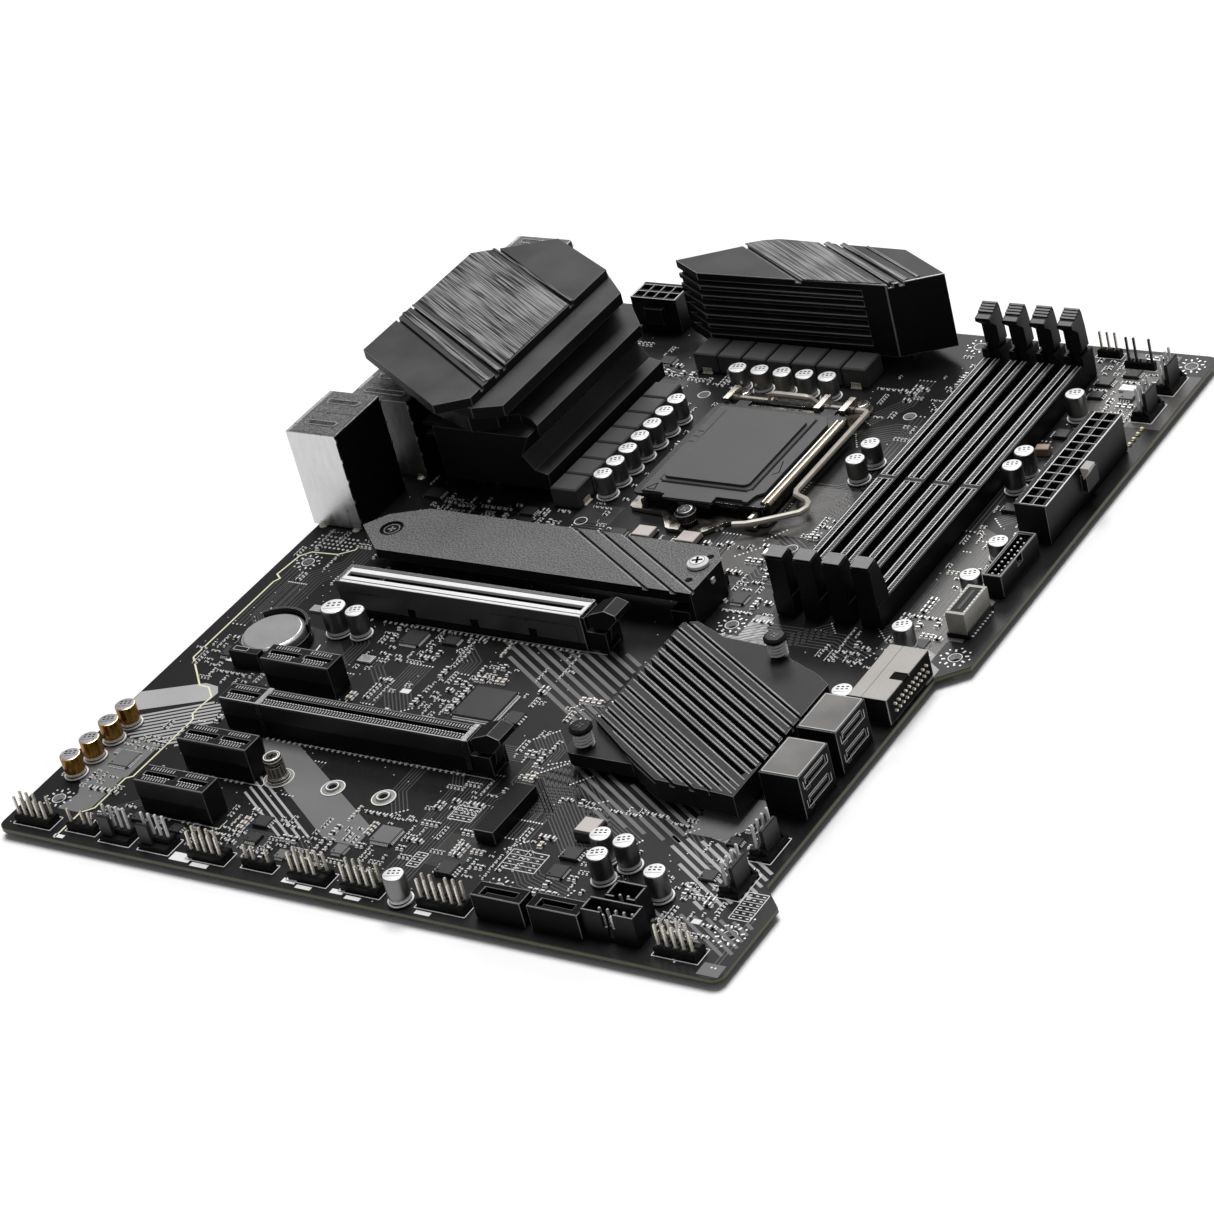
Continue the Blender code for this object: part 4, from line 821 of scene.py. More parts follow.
SILVER_CANS = [
    (45.5, 110.0, 8.0, 9.4), (53.5, 110.0, 6.3, 9.1), (165.3, 227.6, 6.3, 8.0), (165.0, 218.5, 6.3, 8.0),
    (216.4, 263.7, 6.3, 9.0), (215.6, 231.0, 6.3, 9.0), (215.6, 223.0, 6.3, 9.0), (227.6, 189.2, 6.3, 6.0),
    (227.4, 171.8, 6.3, 6.0), (222.0, 141.8, 6.3, 8.0), (220.3, 110.0, 6.3, 8.0), (142.0, 4.5, 6.3, 9.0),
    (188.8, 34.9, 6.3, 9.0), (196.7, 34.0, 6.3, 9.0), (192.6, 27.2, 6.3, 9.0), (211.8, 25.0, 6.3, 9.0),
    *[(88.8, 194.9 + 7.4 * k, 6.3, 8.5) for k in range(7)],
    *[(98.7 + 8.225 * k, 261.0, 6.3, 8.0) for k in range(5)],
]
GILT_CANS = [(8.6, 53.0, 6.3, 7.4), (8.5, 45.0, 6.3, 7.4), (8.5, 36.0, 6.3, 7.4), (8.0, 27.6, 6.3, 7.4)]


def can(cans, x, y, wide, tall, warm):
    """A can capacitor: moulded foot, crimped skirt, sleeve and a scored top."""
    r = wide / 2
    cans["plastic"].lathe((x, y), [(r + 0.3, 0.0), (r + 0.3, 0.35), (r - 0.2, 1.2)], 28)
    cans["bright"].lathe((x, y), [(r + 0.1, 0.4), (r + 0.55, 0.5), (r + 0.5, 0.75), (r, 0.8)], 28)
    skirt, sleeve, crown = ("pale_gold", "gilt_can", "grey_top") if warm else ("bright", "can", "can_top")
    cans[skirt].lathe((x, y), [(r - 0.3, 1.0), (r, 1.15), (r + 0.03, 1.5), (r - 0.1, 1.8),
                               (r - 0.3, 1.95)], 28)
    cans[sleeve].lathe((x, y), [(r - 0.3, 1.9), (r - 0.3, 2.2), (r, 2.5), (r, tall - 0.45),
                                (r - 0.1, tall - 0.15), (r - 0.35, tall)], 32)
    if warm:
        cans["gold"].lathe((x, y), [(r - 0.1, tall - 0.3), (r - 0.06, tall - 0.1), (r - 0.45, tall + 0.04),
                                    (r - 0.6, tall - 0.2)], 32)
    cans[crown].lathe((x, y), [(r - 0.32, tall - 0.2), (r - 0.32, tall + 0.03), (r - 0.44, tall + 0.06)], 32)
    turn, top = 0.35 + rng.uniform(-0.12, 0.12), (tall + 0.03, tall + 0.09)

    def spot(u, v):
        return x + u * math.cos(turn) - v * math.sin(turn), y + u * math.sin(turn) + v * math.cos(turn)

    cans["dark_ink"].block(*spot(0.0, -0.28 * r), 1.5 * r, 0.11, top, 0.0, turn)
    for u in (-0.42, 0.0, 0.42):
        for v in (0.08, 0.42):
            cans["dark_ink"].block(*spot(u * r, v * r), 0.24 * r, 0.15 * r, top, 0.0, turn)
    cans["tin"].block(x, y, wide + 0.9, 0.9, (0.0, 0.16))
    claim((x - r, x + r), (y - r, y + r), 0.6)
    for dx in (-1.0, 1.0):
        cans["tin"].lathe((x + dx, y), [(0.3, UNDER - 1.0), (0.5, UNDER - 0.6), (0.8, UNDER - 0.05),
                                        (0.8, UNDER + 0.02)], 10)


def make_cans():
    cans = Group("capacitors")
    for row in SILVER_CANS:
        can(cans, *row, False)
    for row in GILT_CANS:
        can(cans, *row, True)
    return cans


def choke(group, cx, cy, sx, sy, tall, feet_y):
    """A moulded choke with its tinned feet."""
    group["ferrite"].block(cx, cy, sx, sy, (0.5, tall), 0.45)
    group["ferrite"].block(cx, cy, sx - 0.5, sy - 0.5, (0.1, 0.6))
    for side in (-1, 1):
        if feet_y:
            group["pale_gold"].block(cx, cy + side * (sy / 2 + 0.05), sx * 0.42, 0.3, (0.0, 1.9), 0.08)
            group["pale_gold"].block(cx, cy + side * (sy / 2 + 0.35), sx * 0.46, 0.9, (0.0, 0.2))
        else:
            group["pale_gold"].block(cx + side * (sx / 2 + 0.05), cy, 0.3, sy * 0.42, (0.0, 1.9), 0.08)
            group["pale_gold"].block(cx + side * (sx / 2 + 0.35), cy, 0.9, sy * 0.46, (0.0, 0.2))
    claim(around(cx, sx), around(cy, sy), 1.0)


def make_chokes():
    chokes = Group("chokes")
    for k in range(7):
        choke(chokes, 79.0, 190.4 + 9.2 * k, 9.6, 8.6, 7.0, False)
        choke(chokes, 81.6 + 9.2 * k, 273.4, 8.4, 10.4, 7.0, True)
    choke(chokes, 178.6, 43.2, 6.6, 6.6, 3.6, False)
    chokes["pale_ferrite"].block(178.6, 43.2, 5.9, 5.9, (3.5, 3.75), 0.1)
    for x in (113.2, 129.0):
        chokes["pale_ferrite"].block(x, 177.2, 6.2, 5.2, (0.2, 2.2), 0.15)
        chokes["plastic"].block(x, 177.2, 6.6, 5.6, (0.0, 0.5))
        for k in range(5):
            chokes["tin"].block(x - 2.4 + 1.2 * k, 180.4, 0.5, 0.9, (0.0, 0.25))
        claim((x - 3.4, x + 3.4), (173.8, 181.2))
    chokes["ceramic"].block(214.4, 243.4, 4.2, 3.0, (0.1, 2.6), 0.2, 0.2)
    claim((211.8, 217.0), (241.4, 245.4))
    for x, y, sx, sy in ((30.6, 118.6, 4.6, 3.0), (63.0, 99.2, 5.0, 3.2), (157.6, 176.6, 4.2, 3.0),
                         (14.6, 40.0, 3.2, 2.2), (224.0, 282.0, 5.0, 3.2)):
        chokes["tin"].block(x, y, sx, sy, (0.1, 0.8), 0.12)
        chokes["polished"].block(x, y, sx - 0.5, sy - 0.5, (0.6, 0.95), 0.1)
        claim(around(x, sx), around(y, sy), 0.5)
    return chokes


# ---- headers ----

headers = Group("headers")


def pin(x, y, low, high, key="pale_gold"):
    """A square pin and its soldered end."""
    headers[key].block(x, y, 0.64, 0.64, (low, high), 0.18)
    headers["tin"].lathe((x, y), [(0.28, UNDER - 1.6), (0.4, UNDER - 0.9), (0.75, UNDER - 0.05),
                                  (0.75, UNDER + 0.02)], 8)


def pin_header(x, y, columns, rows, missing=(), tall=8.6, base=2.5, key="pale_gold"):
    """A pin header centred on a point."""
    for i in range(columns):
        for j in range(rows):
            cx, cy = x + (i - (columns - 1) / 2) * PITCH, y + (j - (rows - 1) / 2) * PITCH
            headers["plastic"].block(cx, cy, 2.5, 2.5, (0.05, base), 0.4)
            if (i, j) not in missing:
                pin(cx, cy, base - 0.6, tall, key)
    across, up = around(x, columns * PITCH), around(y, rows * PITCH)
    claim(across, up, 0.8)
    headers["white_ink"].frame(inset(across, -0.6), inset(up, -0.6), 0.22, LINE_Z)


def fan_header(x, y, along_y=False, tall=11.0, tab=7.2):
    """Pins with a locking tab beside them, on a stepped foot; a narrow tab shows the pins past it."""
    long, wide = 10.4, 6.4
    sx, sy = (wide, long) if along_y else (long, wide)
    headers["plastic"].block(x, y, sx, sy, (0.05, 1.6), 0.15)
    if along_y:
        headers["plastic"].box((x - 2.6, x + 0.9), (y - 4.9, y + 4.9), (1.5, 3.2), 0.2)
        headers["satin_plastic"].box((x + 0.9, x + 2.1), around(y, tab), (1.5, tall - 1.6), 0.3)
        for side in (-1, 1):
            headers["plastic"].extrude([(x + 0.9, 1.5), (x + 3.1, 1.5), (x + 0.9, 4.4)],
                                       sorted((y + side * 4.7, y + side * 3.9)), "Y")
    else:
        headers["plastic"].box((x - 4.9, x + 4.9), (y - 0.9, y + 2.6), (1.5, 3.2), 0.2)
        headers["satin_plastic"].box((x - 4.6, x - 4.6 + tab), (y - 2.3, y - 1.1), (1.5, tall - 1.8), 0.3)
    for k in range(4):
        at = (k - 1.5) * PITCH
        pin(*((x - 0.6, y + at) if along_y else (x + at, y + 0.6)), 2.6, tall + 0.4, "bright")
    claim(around(x, sx), around(y, sy), 0.8)
    headers["white_ink"].frame(around(x, sx, 0.5), around(y, sy, 0.5), 0.25, LINE_Z)


def shrouded(x, y, z, wall=0.8, key=3.6):
    """An open-topped plastic shroud with a key slot in its near wall and pale rims, a painted highlight."""
    middle = mid(x)
    headers["plastic"].box(x, y, (0.05, 1.6))
    near, between = (y[0], y[0] + wall), (y[0] + wall, y[1] - wall)
    walls = [((x[0], middle - key / 2), near, z), ((middle + key / 2, x[1]), near, z),
             ((middle - key / 2, middle - 0.7), near, z - 4.6),
             ((middle + 0.7, middle + key / 2), near, z - 4.6), (x, (y[1] - wall, y[1]), z),
             ((x[0], x[0] + wall), between, z), ((x[1] - wall, x[1]), between, z)]
    for across, deep, high in walls:
        headers["plastic"].box(across, deep, (1.4, high), 0.1)
        # pale tops of the walls: painted highlight
        headers["comb"].box(inset(across, 0.2), inset(deep, 0.2), (high - 0.1, high + 0.05))
    claim(x, y, 0.8)


def make_headers():
    pin_header(11.0, 6.0, 5, 2, {(3, 1)})
    pin_header(28.4, 6.0, 4, 1, {(1, 0)}, 7.0)
    fan_header(42.0, 6.4, tall=10.0, tab=4.2)
    fan_header(56.4, 6.4, tall=10.0, tab=4.2)
    pin_header(75.0, 6.2, 5, 2, {(4, 1)})
    pin_header(92.6, 6.0, 4, 1, {(2, 0)}, 7.0)
    pin_header(110.6, 6.2, 5, 2, {(4, 0)})
    pin_header(128.6, 6.2, 5, 2, {(3, 1)})
    pin_header(155.4, 6.2, 6, 2, {(2, 1)})
    pin_header(228.4, 7.0, 5, 2, {(4, 1)}, tall=9.0)
    shrouded((200.95, 217.2), (5.4, 11.2), 9.2)
    shrouded((204.4, 213.8), (12.2, 18.8), 9.2)
    for k in range(5):
        for y in (7.2, 9.5):
            pin(204.0 + PITCH * k, y, 1.5, 7.4, "tin")
    for k in range(3):
        pin(206.6 + PITCH * k, 15.6, 1.5, 7.4, "tin")
    fan_header(229.4, 34.8, True, 10.4)
    fan_header(229.4, 50.6, True, 10.4)
    fan_header(235.8, 286.4, True, 11.0)
    fan_header(235.8, 270.6, True, 10.4)
    pin_header(222.4, 295.2, 4, 1, {(2, 0)}, tall=10.4, key="dark_pin")
    pin_header(209.6, 300.2, 3, 1, tall=8.6)
    for k in range(4):
        headers["lamp"].block(238.1, 252.8 + 2.9 * k, 1.0, 0.9, (0.05, 0.75), 0.12)
        for side in (-1, 1):
            headers["tin"].block(238.1, 252.8 + 2.9 * k + side * 0.75, 0.7, 0.3, (0.0, 0.3))
    claim((237.2, 239.0), (251.0, 263.4))
    return headers


# ---- details on the CAD parts ----

def rows_of(shape, x, y, step, size, z, chamfer=0.0):
    """Small blocks in a row along X or Y, whichever is a (low, high) pair."""
    along_x = isinstance(x, tuple)
    low, high = x if along_x else y
    count = int((high - low) / step) + 1
    for k in range(count):
        at = low + k * step
        shape.block(*((at, y) if along_x else (x, at)), *size, z, chamfer)


def comb(shape, x, y, step, wide, z):
    """Thin ribs that cross a band, one every step along X or Y, whichever pair is the longer."""
    along_x = x[1] - x[0] > y[1] - y[0]
    low, high = x if along_x else y
    for k in range(int((high - low) / step)):
        at = low + (k + 0.5) * step
        if along_x:
            shape.box(around(at, wide), y, z)
        else:
            shape.box(x, around(at, wide), z)


def tails(shape, xs, ys, size=0.62):
    """Soldered pin ends under the board."""
    for x in xs:
        for y in ys:
            shape.lathe((x, y), [(0.28, UNDER - 1.0), (size, UNDER - 0.05), (size, UNDER + 0.02)], 6)


def spaced(low, high, step):
    return [low + step * k for k in range(int((high - low) / step) + 1)]


def card_slot(slots, node):
    """Contacts, ribs, side bands and tails of one expansion slot."""
    x, y, _ = span(node)
    long, armoured = "x16" in node, node.endswith("upper")
    middle, top = mid(y), 11.2
    end = x[0] + (89.0 if long else 25.2)
    for low, high in ((x[0] + 2.0, x[0] + 11.8), (x[0] + 14.8, end - 2.2)):
        if not armoured:
            rows_of(slots["bright"], (low, high), middle - 1.0, 1.0, (0.42, 0.34), lid(top, 0.06, 0.4))
        for side in (-1, 1):
            rows_of(slots["gold"], (low, high), middle + side * 0.72, 1.0, (0.42, 0.3),
                    (top - 7.0, top - 3.6))
            if not armoured:
                # pale rib tops: painted highlights
                comb(slots["rim"], (low, high), sorted((middle + side * 1.6, middle + side * 2.9)), 1.0, 0.26,
                     lid(top, 0.08, 0.3))
    for side in (-1, 1):
        band = sorted((middle + side * 3.7, middle + side * 3.98))
        if not armoured:
            slots["satin_plastic"].box((x[0] + 0.2, end - 0.2), band, (5.6, top - 0.3), 0.05)
            # pale line along the top: painted highlight
            slots["rim" if side < 0 and long else "comb"].box((x[0] + 0.3, end - 0.3), sorted(
                (middle + side * 3.3, middle + side * 3.6)), lid(top, 0.07, 0.2))
        for low, high in ((x[0] + 2.4, x[0] + 11.4), (x[0] + 15.4, end - 2.0)):
            away = side * (5.6 if armoured else 5.0)
            rows_of(slots["bright"], (low, high), middle + away, 2.0, (0.75, 1.0), (SUNK, 0.3), 0.08)
    tails(slots["tin"], spaced(x[0] + 2.4, end - 2.0, 2.0), (middle - 2.0, middle + 2.0))
    if long and not armoured:
        for at in (55.6, 128.8):
            slots["polished"].box((at - 0.9, at + 0.9), inset(y, -0.25), lid(top, 0.3), 0.05)
            for edge in ((y[0] - 0.35, y[0] - 0.05), (y[1] + 0.05, y[1] + 0.35)):
                slots["dull_steel"].box((at - 0.9, at + 0.9), edge, (1.4, top + 0.1), 0.05)


def memory_slot(slots, node):
    """Contact rows of one memory slot, with pale rail lines and rib tops that are painted highlights."""
    x, _, _ = span(node)
    middle, top = mid(x), 7.3
    for low, high in ((157.4, 210.6), (213.6, 280.8)):
        for side in (-1, 1):
            rows_of(slots["gold"], middle + side * 0.6, (low, high), 0.85, (0.2, 0.42), (2.8, 4.6))
        for inner, outer in ((-2.45, -1.2), (1.45, 2.4)):
            comb(slots["comb"], (middle + inner, middle + outer), (low, high), 0.85, 0.26,
                 lid(top, 0.08, 0.2))
    slots["comb"].extrude([(148.3, 20.5), (148.3, 20.72), (152.9, 21.32), (152.9, 21.1)],
                          (middle - 2.8, middle + 2.8), "X")
    for low, high, key in ((-2.8, -2.54, "bright"), (-1.1, -0.87, "bright"), (1.1, 1.35, "bright"),
                           (2.5, 2.66, "rim")):
        for ends in ((156.2, 210.9), (213.1, 281.2)):
            slots[key].box((middle + low, middle + high), ends, lid(top, 0.12, 0.2))
    slots["comb"].box((middle - 2.6, middle + 2.6), (210.9, 211.3), lid(top, 0.1, 0.3))
    slots["comb"].box((middle - 2.6, middle + 2.6), (212.7, 213.1), lid(top, 0.1, 0.3))
    tails(slots["tin"], (middle - 1.9, middle + 1.9), spaced(155.0, 275.7, 1.7), 0.55)


def make_slots():
    slots = Group("slot_contacts")
    for node in CARD_SLOTS:
        card_slot(slots, node)
    for k in range(4):
        memory_slot(slots, f"dimm_slot_{k + 1}")
    x, y, z = span("pcie_x16_armour")
    middle, start = mid(y), x[0] + 1.8
    near, far = (y[0] + 0.1, middle - 1.5), (middle + 0.9, middle + 2.8)
    # rail tops in a bright finish: polished steel with its reflection painted in
    for rail in (near, far):
        slots["bright"].box((start, x[1] - 0.2), rail, lid(z[1], 0.1, 0.8), 0.03)
    slots["dull_steel"].box((start, x[1] - 0.2), (near[0] + 0.9, near[0] + 1.3), (z[1], z[1] + 0.13), 0.02)
    slots["plastic"].box((start, x[1] - 1.5), (far[1], y[1] - 0.8), (z[1] - 0.8, z[1] - 0.05))
    for low, high in ((start, start + 0.7), (x[1] - 1.3, x[1] - 0.2)):
        slots["bright"].box((low, high), (y[0] + 0.8, far[1]), lid(z[1], 0.12), 0.04)
    for side in (y[0], y[1]):
        slots["plastic"].box(inset(x, 0.5, 0.3), (side - 0.12, side + 0.12), (0.1, 2.7))
        for at in (67.0, 90.0, 111.0):
            # dark patches for the notches: painted shade
            slots["dark_ink"].box((at - 1.3, at + 1.3), (side - 0.14, side + 0.14), (2.6, 5.2))
        for low, high in ((97.5, 127.0), (44.0, 59.0)):
            slots["dull_steel"].box((low, high), (side - 0.12, side + 0.1), (8.3, 8.55))
        slots["dull_steel"].box((127.0, 127.25), (side - 0.12, side + 0.1), (2.4, 8.55))
    return slots


def make_latch_ridges():
    """Pale plates on every finger ridge of each memory latch: painted highlights on the ridge tops."""
    for k in range(4):
        node = f"dimm_latch_{k + 1}"
        x, _, z = span(node)
        painted_ridge_highlights = Group(f"{node}_ridges", f"latch_dimm_{k + 1}")
        for step in range(4):
            back, up = 286.2 - 1.05 * step, z[1] - 0.42 * step
            painted_ridge_highlights["comb"].extrude([(back, up + 0.04), (back - 0.62, up - 0.21), (back - 0.62, up - 0.4),
                                    (back, up - 0.2)], inset(x, 0.2), "X")
        painted_ridge_highlights["edge"].extrude([(281.6, z[1] - 2.0), (279.95, z[1] - 2.52), (279.95, z[1] - 2.7),
                                (281.6, z[1] - 2.3)], inset(x, 0.4), "X")
        painted_ridge_highlights.build()


# ---- connectors ----

def power_cells(group, x, y, columns, rows, pitch, top, floor):
    """Pale rims between the cells of a power socket, painted highlights, and the pin in each cell."""
    for i in range(columns + 1):
        at = x + (i - columns / 2) * pitch
        key, wide = ("bright", 0.3) if i in (0, columns) else ("rim", 0.18)
        group[key].box(around(at, wide), around(y, rows * pitch), lid(top, 0.1))
    for j in range(rows + 1):
        at = y + (j - rows / 2) * pitch
        group["rim"].box(around(x, columns * pitch, -0.25), (at - 0.11, at + 0.11), lid(top, 0.08))
    for i in range(columns):
        for j in range(rows):
            at = (x + (i - (columns - 1) / 2) * pitch, y + (j - (rows - 1) / 2) * pitch)
            group["dark_pin"].block(*at, 1.0, 1.0, (floor - 0.2, floor + 2.6), 0.25)
            tails(group["tin"], at[:1], at[1:], 0.9)


def port_face(group, x, y, z):
    """Pale mouth outline, a painted highlight, and contact tongue on the +X face of a drive connector."""
    low, high = z
    for a, b, c, d in ((y[0], y[1], low, low + 0.22), (y[0] + 0.9, y[1] - 1.6, high - 0.22, high),
                       (y[0], y[0] + 0.22, low, high - 0.8), (y[1] - 0.22, y[1], low, high - 0.8)):
        group["rim"].box((x - 0.1, x + 0.06), (a, b), (c, d))
    middle = (low + high) / 2
    group["plastic"].box((x - 5.0, x - 0.4), inset(y, 1.6), (middle - 0.55, middle + 0.55))
    group["rim"].box((x - 0.7, x - 0.35), inset(y, 1.6), (middle + 0.38, middle + 0.6))
    group["rim"].box((x - 0.7, x - 0.35), (y[0] + 1.6, y[0] + 1.85), (middle - 0.9, middle + 0.6))
    rows_of(group["gold"], x - 1.6, inset(y, 2.4, 2.2), 1.27, (1.6, 0.5), (middle - 0.68, middle - 0.5))


def make_connectors():
    group = Group("connector_trim")
    group["plastic"].strip(arc(CELL, 10.9, 22, 142), 0.7, (3.7, 6.6))
    # pale lines on the holder's rim: painted highlight
    for radius in (10.65, 11.18):
        group["comb"].strip(arc(CELL, radius, 22, 142), 0.14, (6.5, 6.68))
    # pale outline on the clip: painted highlight
    group["rim"].frame((23.4, 28.6), (86.9, 88.7), 0.2, (6.1, 6.28))
    x, y, _ = span("atx_power_connector")
    power_cells(group, mid(x), mid(y), 2, 12, 4.2, 12.8, 3.0)
    group["pale_plastic"].extrude([(x[1] - 0.7, 12.4), (x[1] - 0.7, 12.95), (x[1] + 1.9, 12.8),
                                   (x[1] + 1.9, 11.9), (x[1] - 0.1, 9.0)], (219.4, 223.6), "Y")
    x, y, _ = span("cpu_power_connector")
    power_cells(group, mid(x), mid(y), 4, 2, 4.2, 12.8, 3.0)
    for k, node in enumerate(("sata_stack_1", "sata_stack_2")):
        x, y, z = span(node)
        # lighter plate on the top face: painted highlight
        group["worn_plastic"].box(inset(x, 0.7, 0.5), inset(y, 0.7), lid(z[1], 0.12), 0.05)
        # pale frame on the top rim: painted highlight
        group["rim"].frame(inset(x, 0.6, 0.4), inset(y, 0.6), 0.25, lid(z[1], 0.16))
        for low in (2.9, 8.9):
            port_face(group, x[1], inset(y, 1.6), (low, low + 3.4))
    for node in ("sata_port_5", "sata_port_6"):
        x, y, z = span(node)
        # pale lines along the top edges: painted highlight
        for a, b in ((y[0] + 0.15, y[0] + 0.4), (y[1] - 0.4, y[1] - 0.15)):
            group["comb"].box(inset(x, 0.2), (a, b), lid(z[1], 0.06))
        rows_of(group["gold"], inset(x, 4.4, 3.6), mid(y) - 0.5, 1.27, (0.5, 0.2),
                (3.0, z[1] - 1.4))
    x, y, z = span("usb3_header_upright")
    # pale lines along the top rims: painted highlight
    for low, high in ((x[0] + 0.1, x[0] + 0.5), (x[1] - 0.5, x[1] - 0.1)):
        group["comb"].box((low, high), inset(y, 0.1), lid(z[1], 0.06))
    for low, high in ((y[0] + 0.1, y[0] + 0.5), (y[1] - 0.5, y[1] - 0.1)):
        group["comb"].box(inset(x, 0.5), (low, high), lid(z[1], 0.06))
    for k in range(10):
        for side in (-1, 1):
            if (k, side) != (9, 1):
                at = (mid(x) + side, y[0] + 2.4 + 2.0 * k)
                group["dark_pin"].block(*at, 0.5, 0.5, (1.0, 6.1))
                group["bright"].block(*at, 0.56, 0.56, (6.1, 6.5), 0.12)
                tails(group["tin"], at[:1], at[1:], 0.7)
    x, y, z = span("usb_c_header")
    for side in inset(x, 0.5):
        comb(group["bright"], (side - 0.2, side + 0.2), inset(y, 0.8), 1.5, 0.7, lid(z[1], 0.12))
    group["plastic"].box(inset(x, 1.03), inset(y, 1.24), (2.5, 7.9), 0.1)
    group["satin_plastic"].box(inset(x, 2.5), inset(y, 2.4), (7.8, 8.0))
    group["plastic"].box(inset(x, -0.4), inset(y, -0.4), (0.02, 1.3), 0.1)
    for k in range(9):
        group["tin"].box((x[1] + 0.3, x[1] + 1.1), (y[0] + 1.0 + 1.5 * k, y[0] + 1.6 + 1.5 * k), (0.0, 0.3))
    group["dark_ceramic"].box((x[1] - 0.1, x[1] + 0.5), inset(y, 0.4), (0.0, 2.0))
    x, y, z = span("usb3_header_angled")
    # dark plate in the key notch: painted shade
    group["dark_ink"].box((x[1] - 4.25, x[1] - 0.05), (117.05, 120.35), (z[1] - 0.6, z[1] - 0.3))
    # pale line along the top: painted highlight
    group["worn_plastic"].box((x[0] + 4.1, x[0] + 4.3), inset(y, 0.1), lid(z[1], 0.03))
    # dark strip on the mouth: painted shade
    group["dark_ink"].box((x[1] - 0.1, x[1] + 0.08), inset(y, 1.0), (1.2, z[1] - 0.9))
    for k in range(10):
        for high in (3.4, 5.6):
            group["pale_gold"].box((x[1] - 0.1, x[1] + 0.9), (y[0] + 2.9 + 2.0 * k, y[0] + 3.5 + 2.0 * k),
                                   (high - 0.3, high + 0.3), 0.08)
    return group


def make_ports():
    """Sheet-metal details of the rear port stacks."""
    group = Group("port_trim")
    for node in ("io_audio_jacks", "io_lan_usb_stack", "io_usb_stack", "io_video_stack",
                 "io_ps2_usb_stack"):
        x, y, z = span(node)
        group["black_shell"].box((x[1] - 0.1, x[1] + 0.18), inset(y, 0.3), (0.2, z[1] - 0.35), 0.04)
        for k in range(5):
            at = 2.5 + (z[1] - 5.0) * k / 4
            group["shell"].box((x[1] - 0.1, x[1] + 0.32), (y[0] - 0.05, y[0] + 0.55), (at, at + 1.3))
            group["shell"].box((x[1] - 0.1, x[1] + 0.32), (y[1] - 0.55, y[1] + 0.05), (at, at + 1.3))
        for at in inset(x, 3.5, 2.5):
            for side in inset(y, 0.1):
                group["shell"].box((at - 1.0, at + 1.0), (side - 0.2, side + 0.2), (0.0, 1.5))
                group["pale_gold"].lathe((at, side), [(1.5, SUNK), (1.3, 0.25), (0.6, 0.5)], 12)
                tails(group["tin"], (at,), (side,), 1.1)
        for k in range(4):
            for j in range(2):
                tails(group["tin"], (x[0] + 6.0 + 2.6 * k,), (mid(y) - 2.5 + 5.0 * j,), 0.7)
        group["knurled"].box(inset(x, 1.4, 0.3), inset(y, 0.3), lid(z[1], 0.12), 0.04)
        group["polished"].box((x[0] + 0.1, x[0] + 1.4), inset(y, 4.5), lid(z[1], 0.15), 0.04)
        for at in (y[0] + (y[1] - y[0]) * 0.25, y[0] + (y[1] - y[0]) * 0.75):
            low, high, raised = x[0] + 5.0, x[1] - 4.6, (z[1] + 0.05, z[1] + 0.4)
            for side in (-1.25, 1.0):
                group["polished"].box((low, high), (at + side, at + side + 0.25), raised, 0.05)
            for end, way in ((low, -1), (high, 1)):
                bend = [(end + 1.25 * math.sin(a) * way, at + 1.25 * math.cos(a))
                        for a in [math.pi * k / 8 for k in range(9)]]
                group["polished"].strip(bend, 0.25, raised)
            group["dull_steel"].box((low, high), (at - 0.95, at + 0.95), (z[1] + 0.05, z[1] + 0.2), 0.03)
        group["black_shell"].box(inset(x, 1.5, 0.4), around(mid(y), 0.16),
                                 (z[1] + 0.05, z[1] + 0.15))
    for y in (166.8, 178.8):
        for z in (6.6, 17.4, 28.2):
            for radius, deep, key in ((4.6, 0.25, "plastic"), (3.2, 0.5, "comb")):
                ring = [(y + radius * u, z + radius * v) for u, v in circle(24)]
                hole = [(y + 1.8 * u, z + 1.8 * v) for u, v in circle(24)]
                for k in range(24):
                    a, b = k, (k + 1) % 24
                    group[key].extrude([ring[a], ring[b], hole[b], hole[a]], (-1.5 - deep, -1.3), "X")
    return group


# ---- socket, heatsinks and screws ----

def cross_head(group, x, y, z, reach, key="dark_ink", turn=0.4, rim=None):
    """A cross recess drawn as two shallow inlaid bars, dark ones as painted shade in the recess and lighter
    ones on a black head as a painted highlight on its edges; with a rim where one is asked for.
    """
    for k in range(2):
        group[key].block(x, y, reach * 2, reach * 0.42, lid(z, 0.04, 0.3), 0.0, turn + math.pi / 2 * k)
    if rim:
        group[rim].lathe((x, y), [(reach * 1.95, z - 0.3), (reach * 1.95, z + 0.03), (reach * 1.75, z + 0.1),
                                  (reach * 1.7, z - 0.3)], 24)


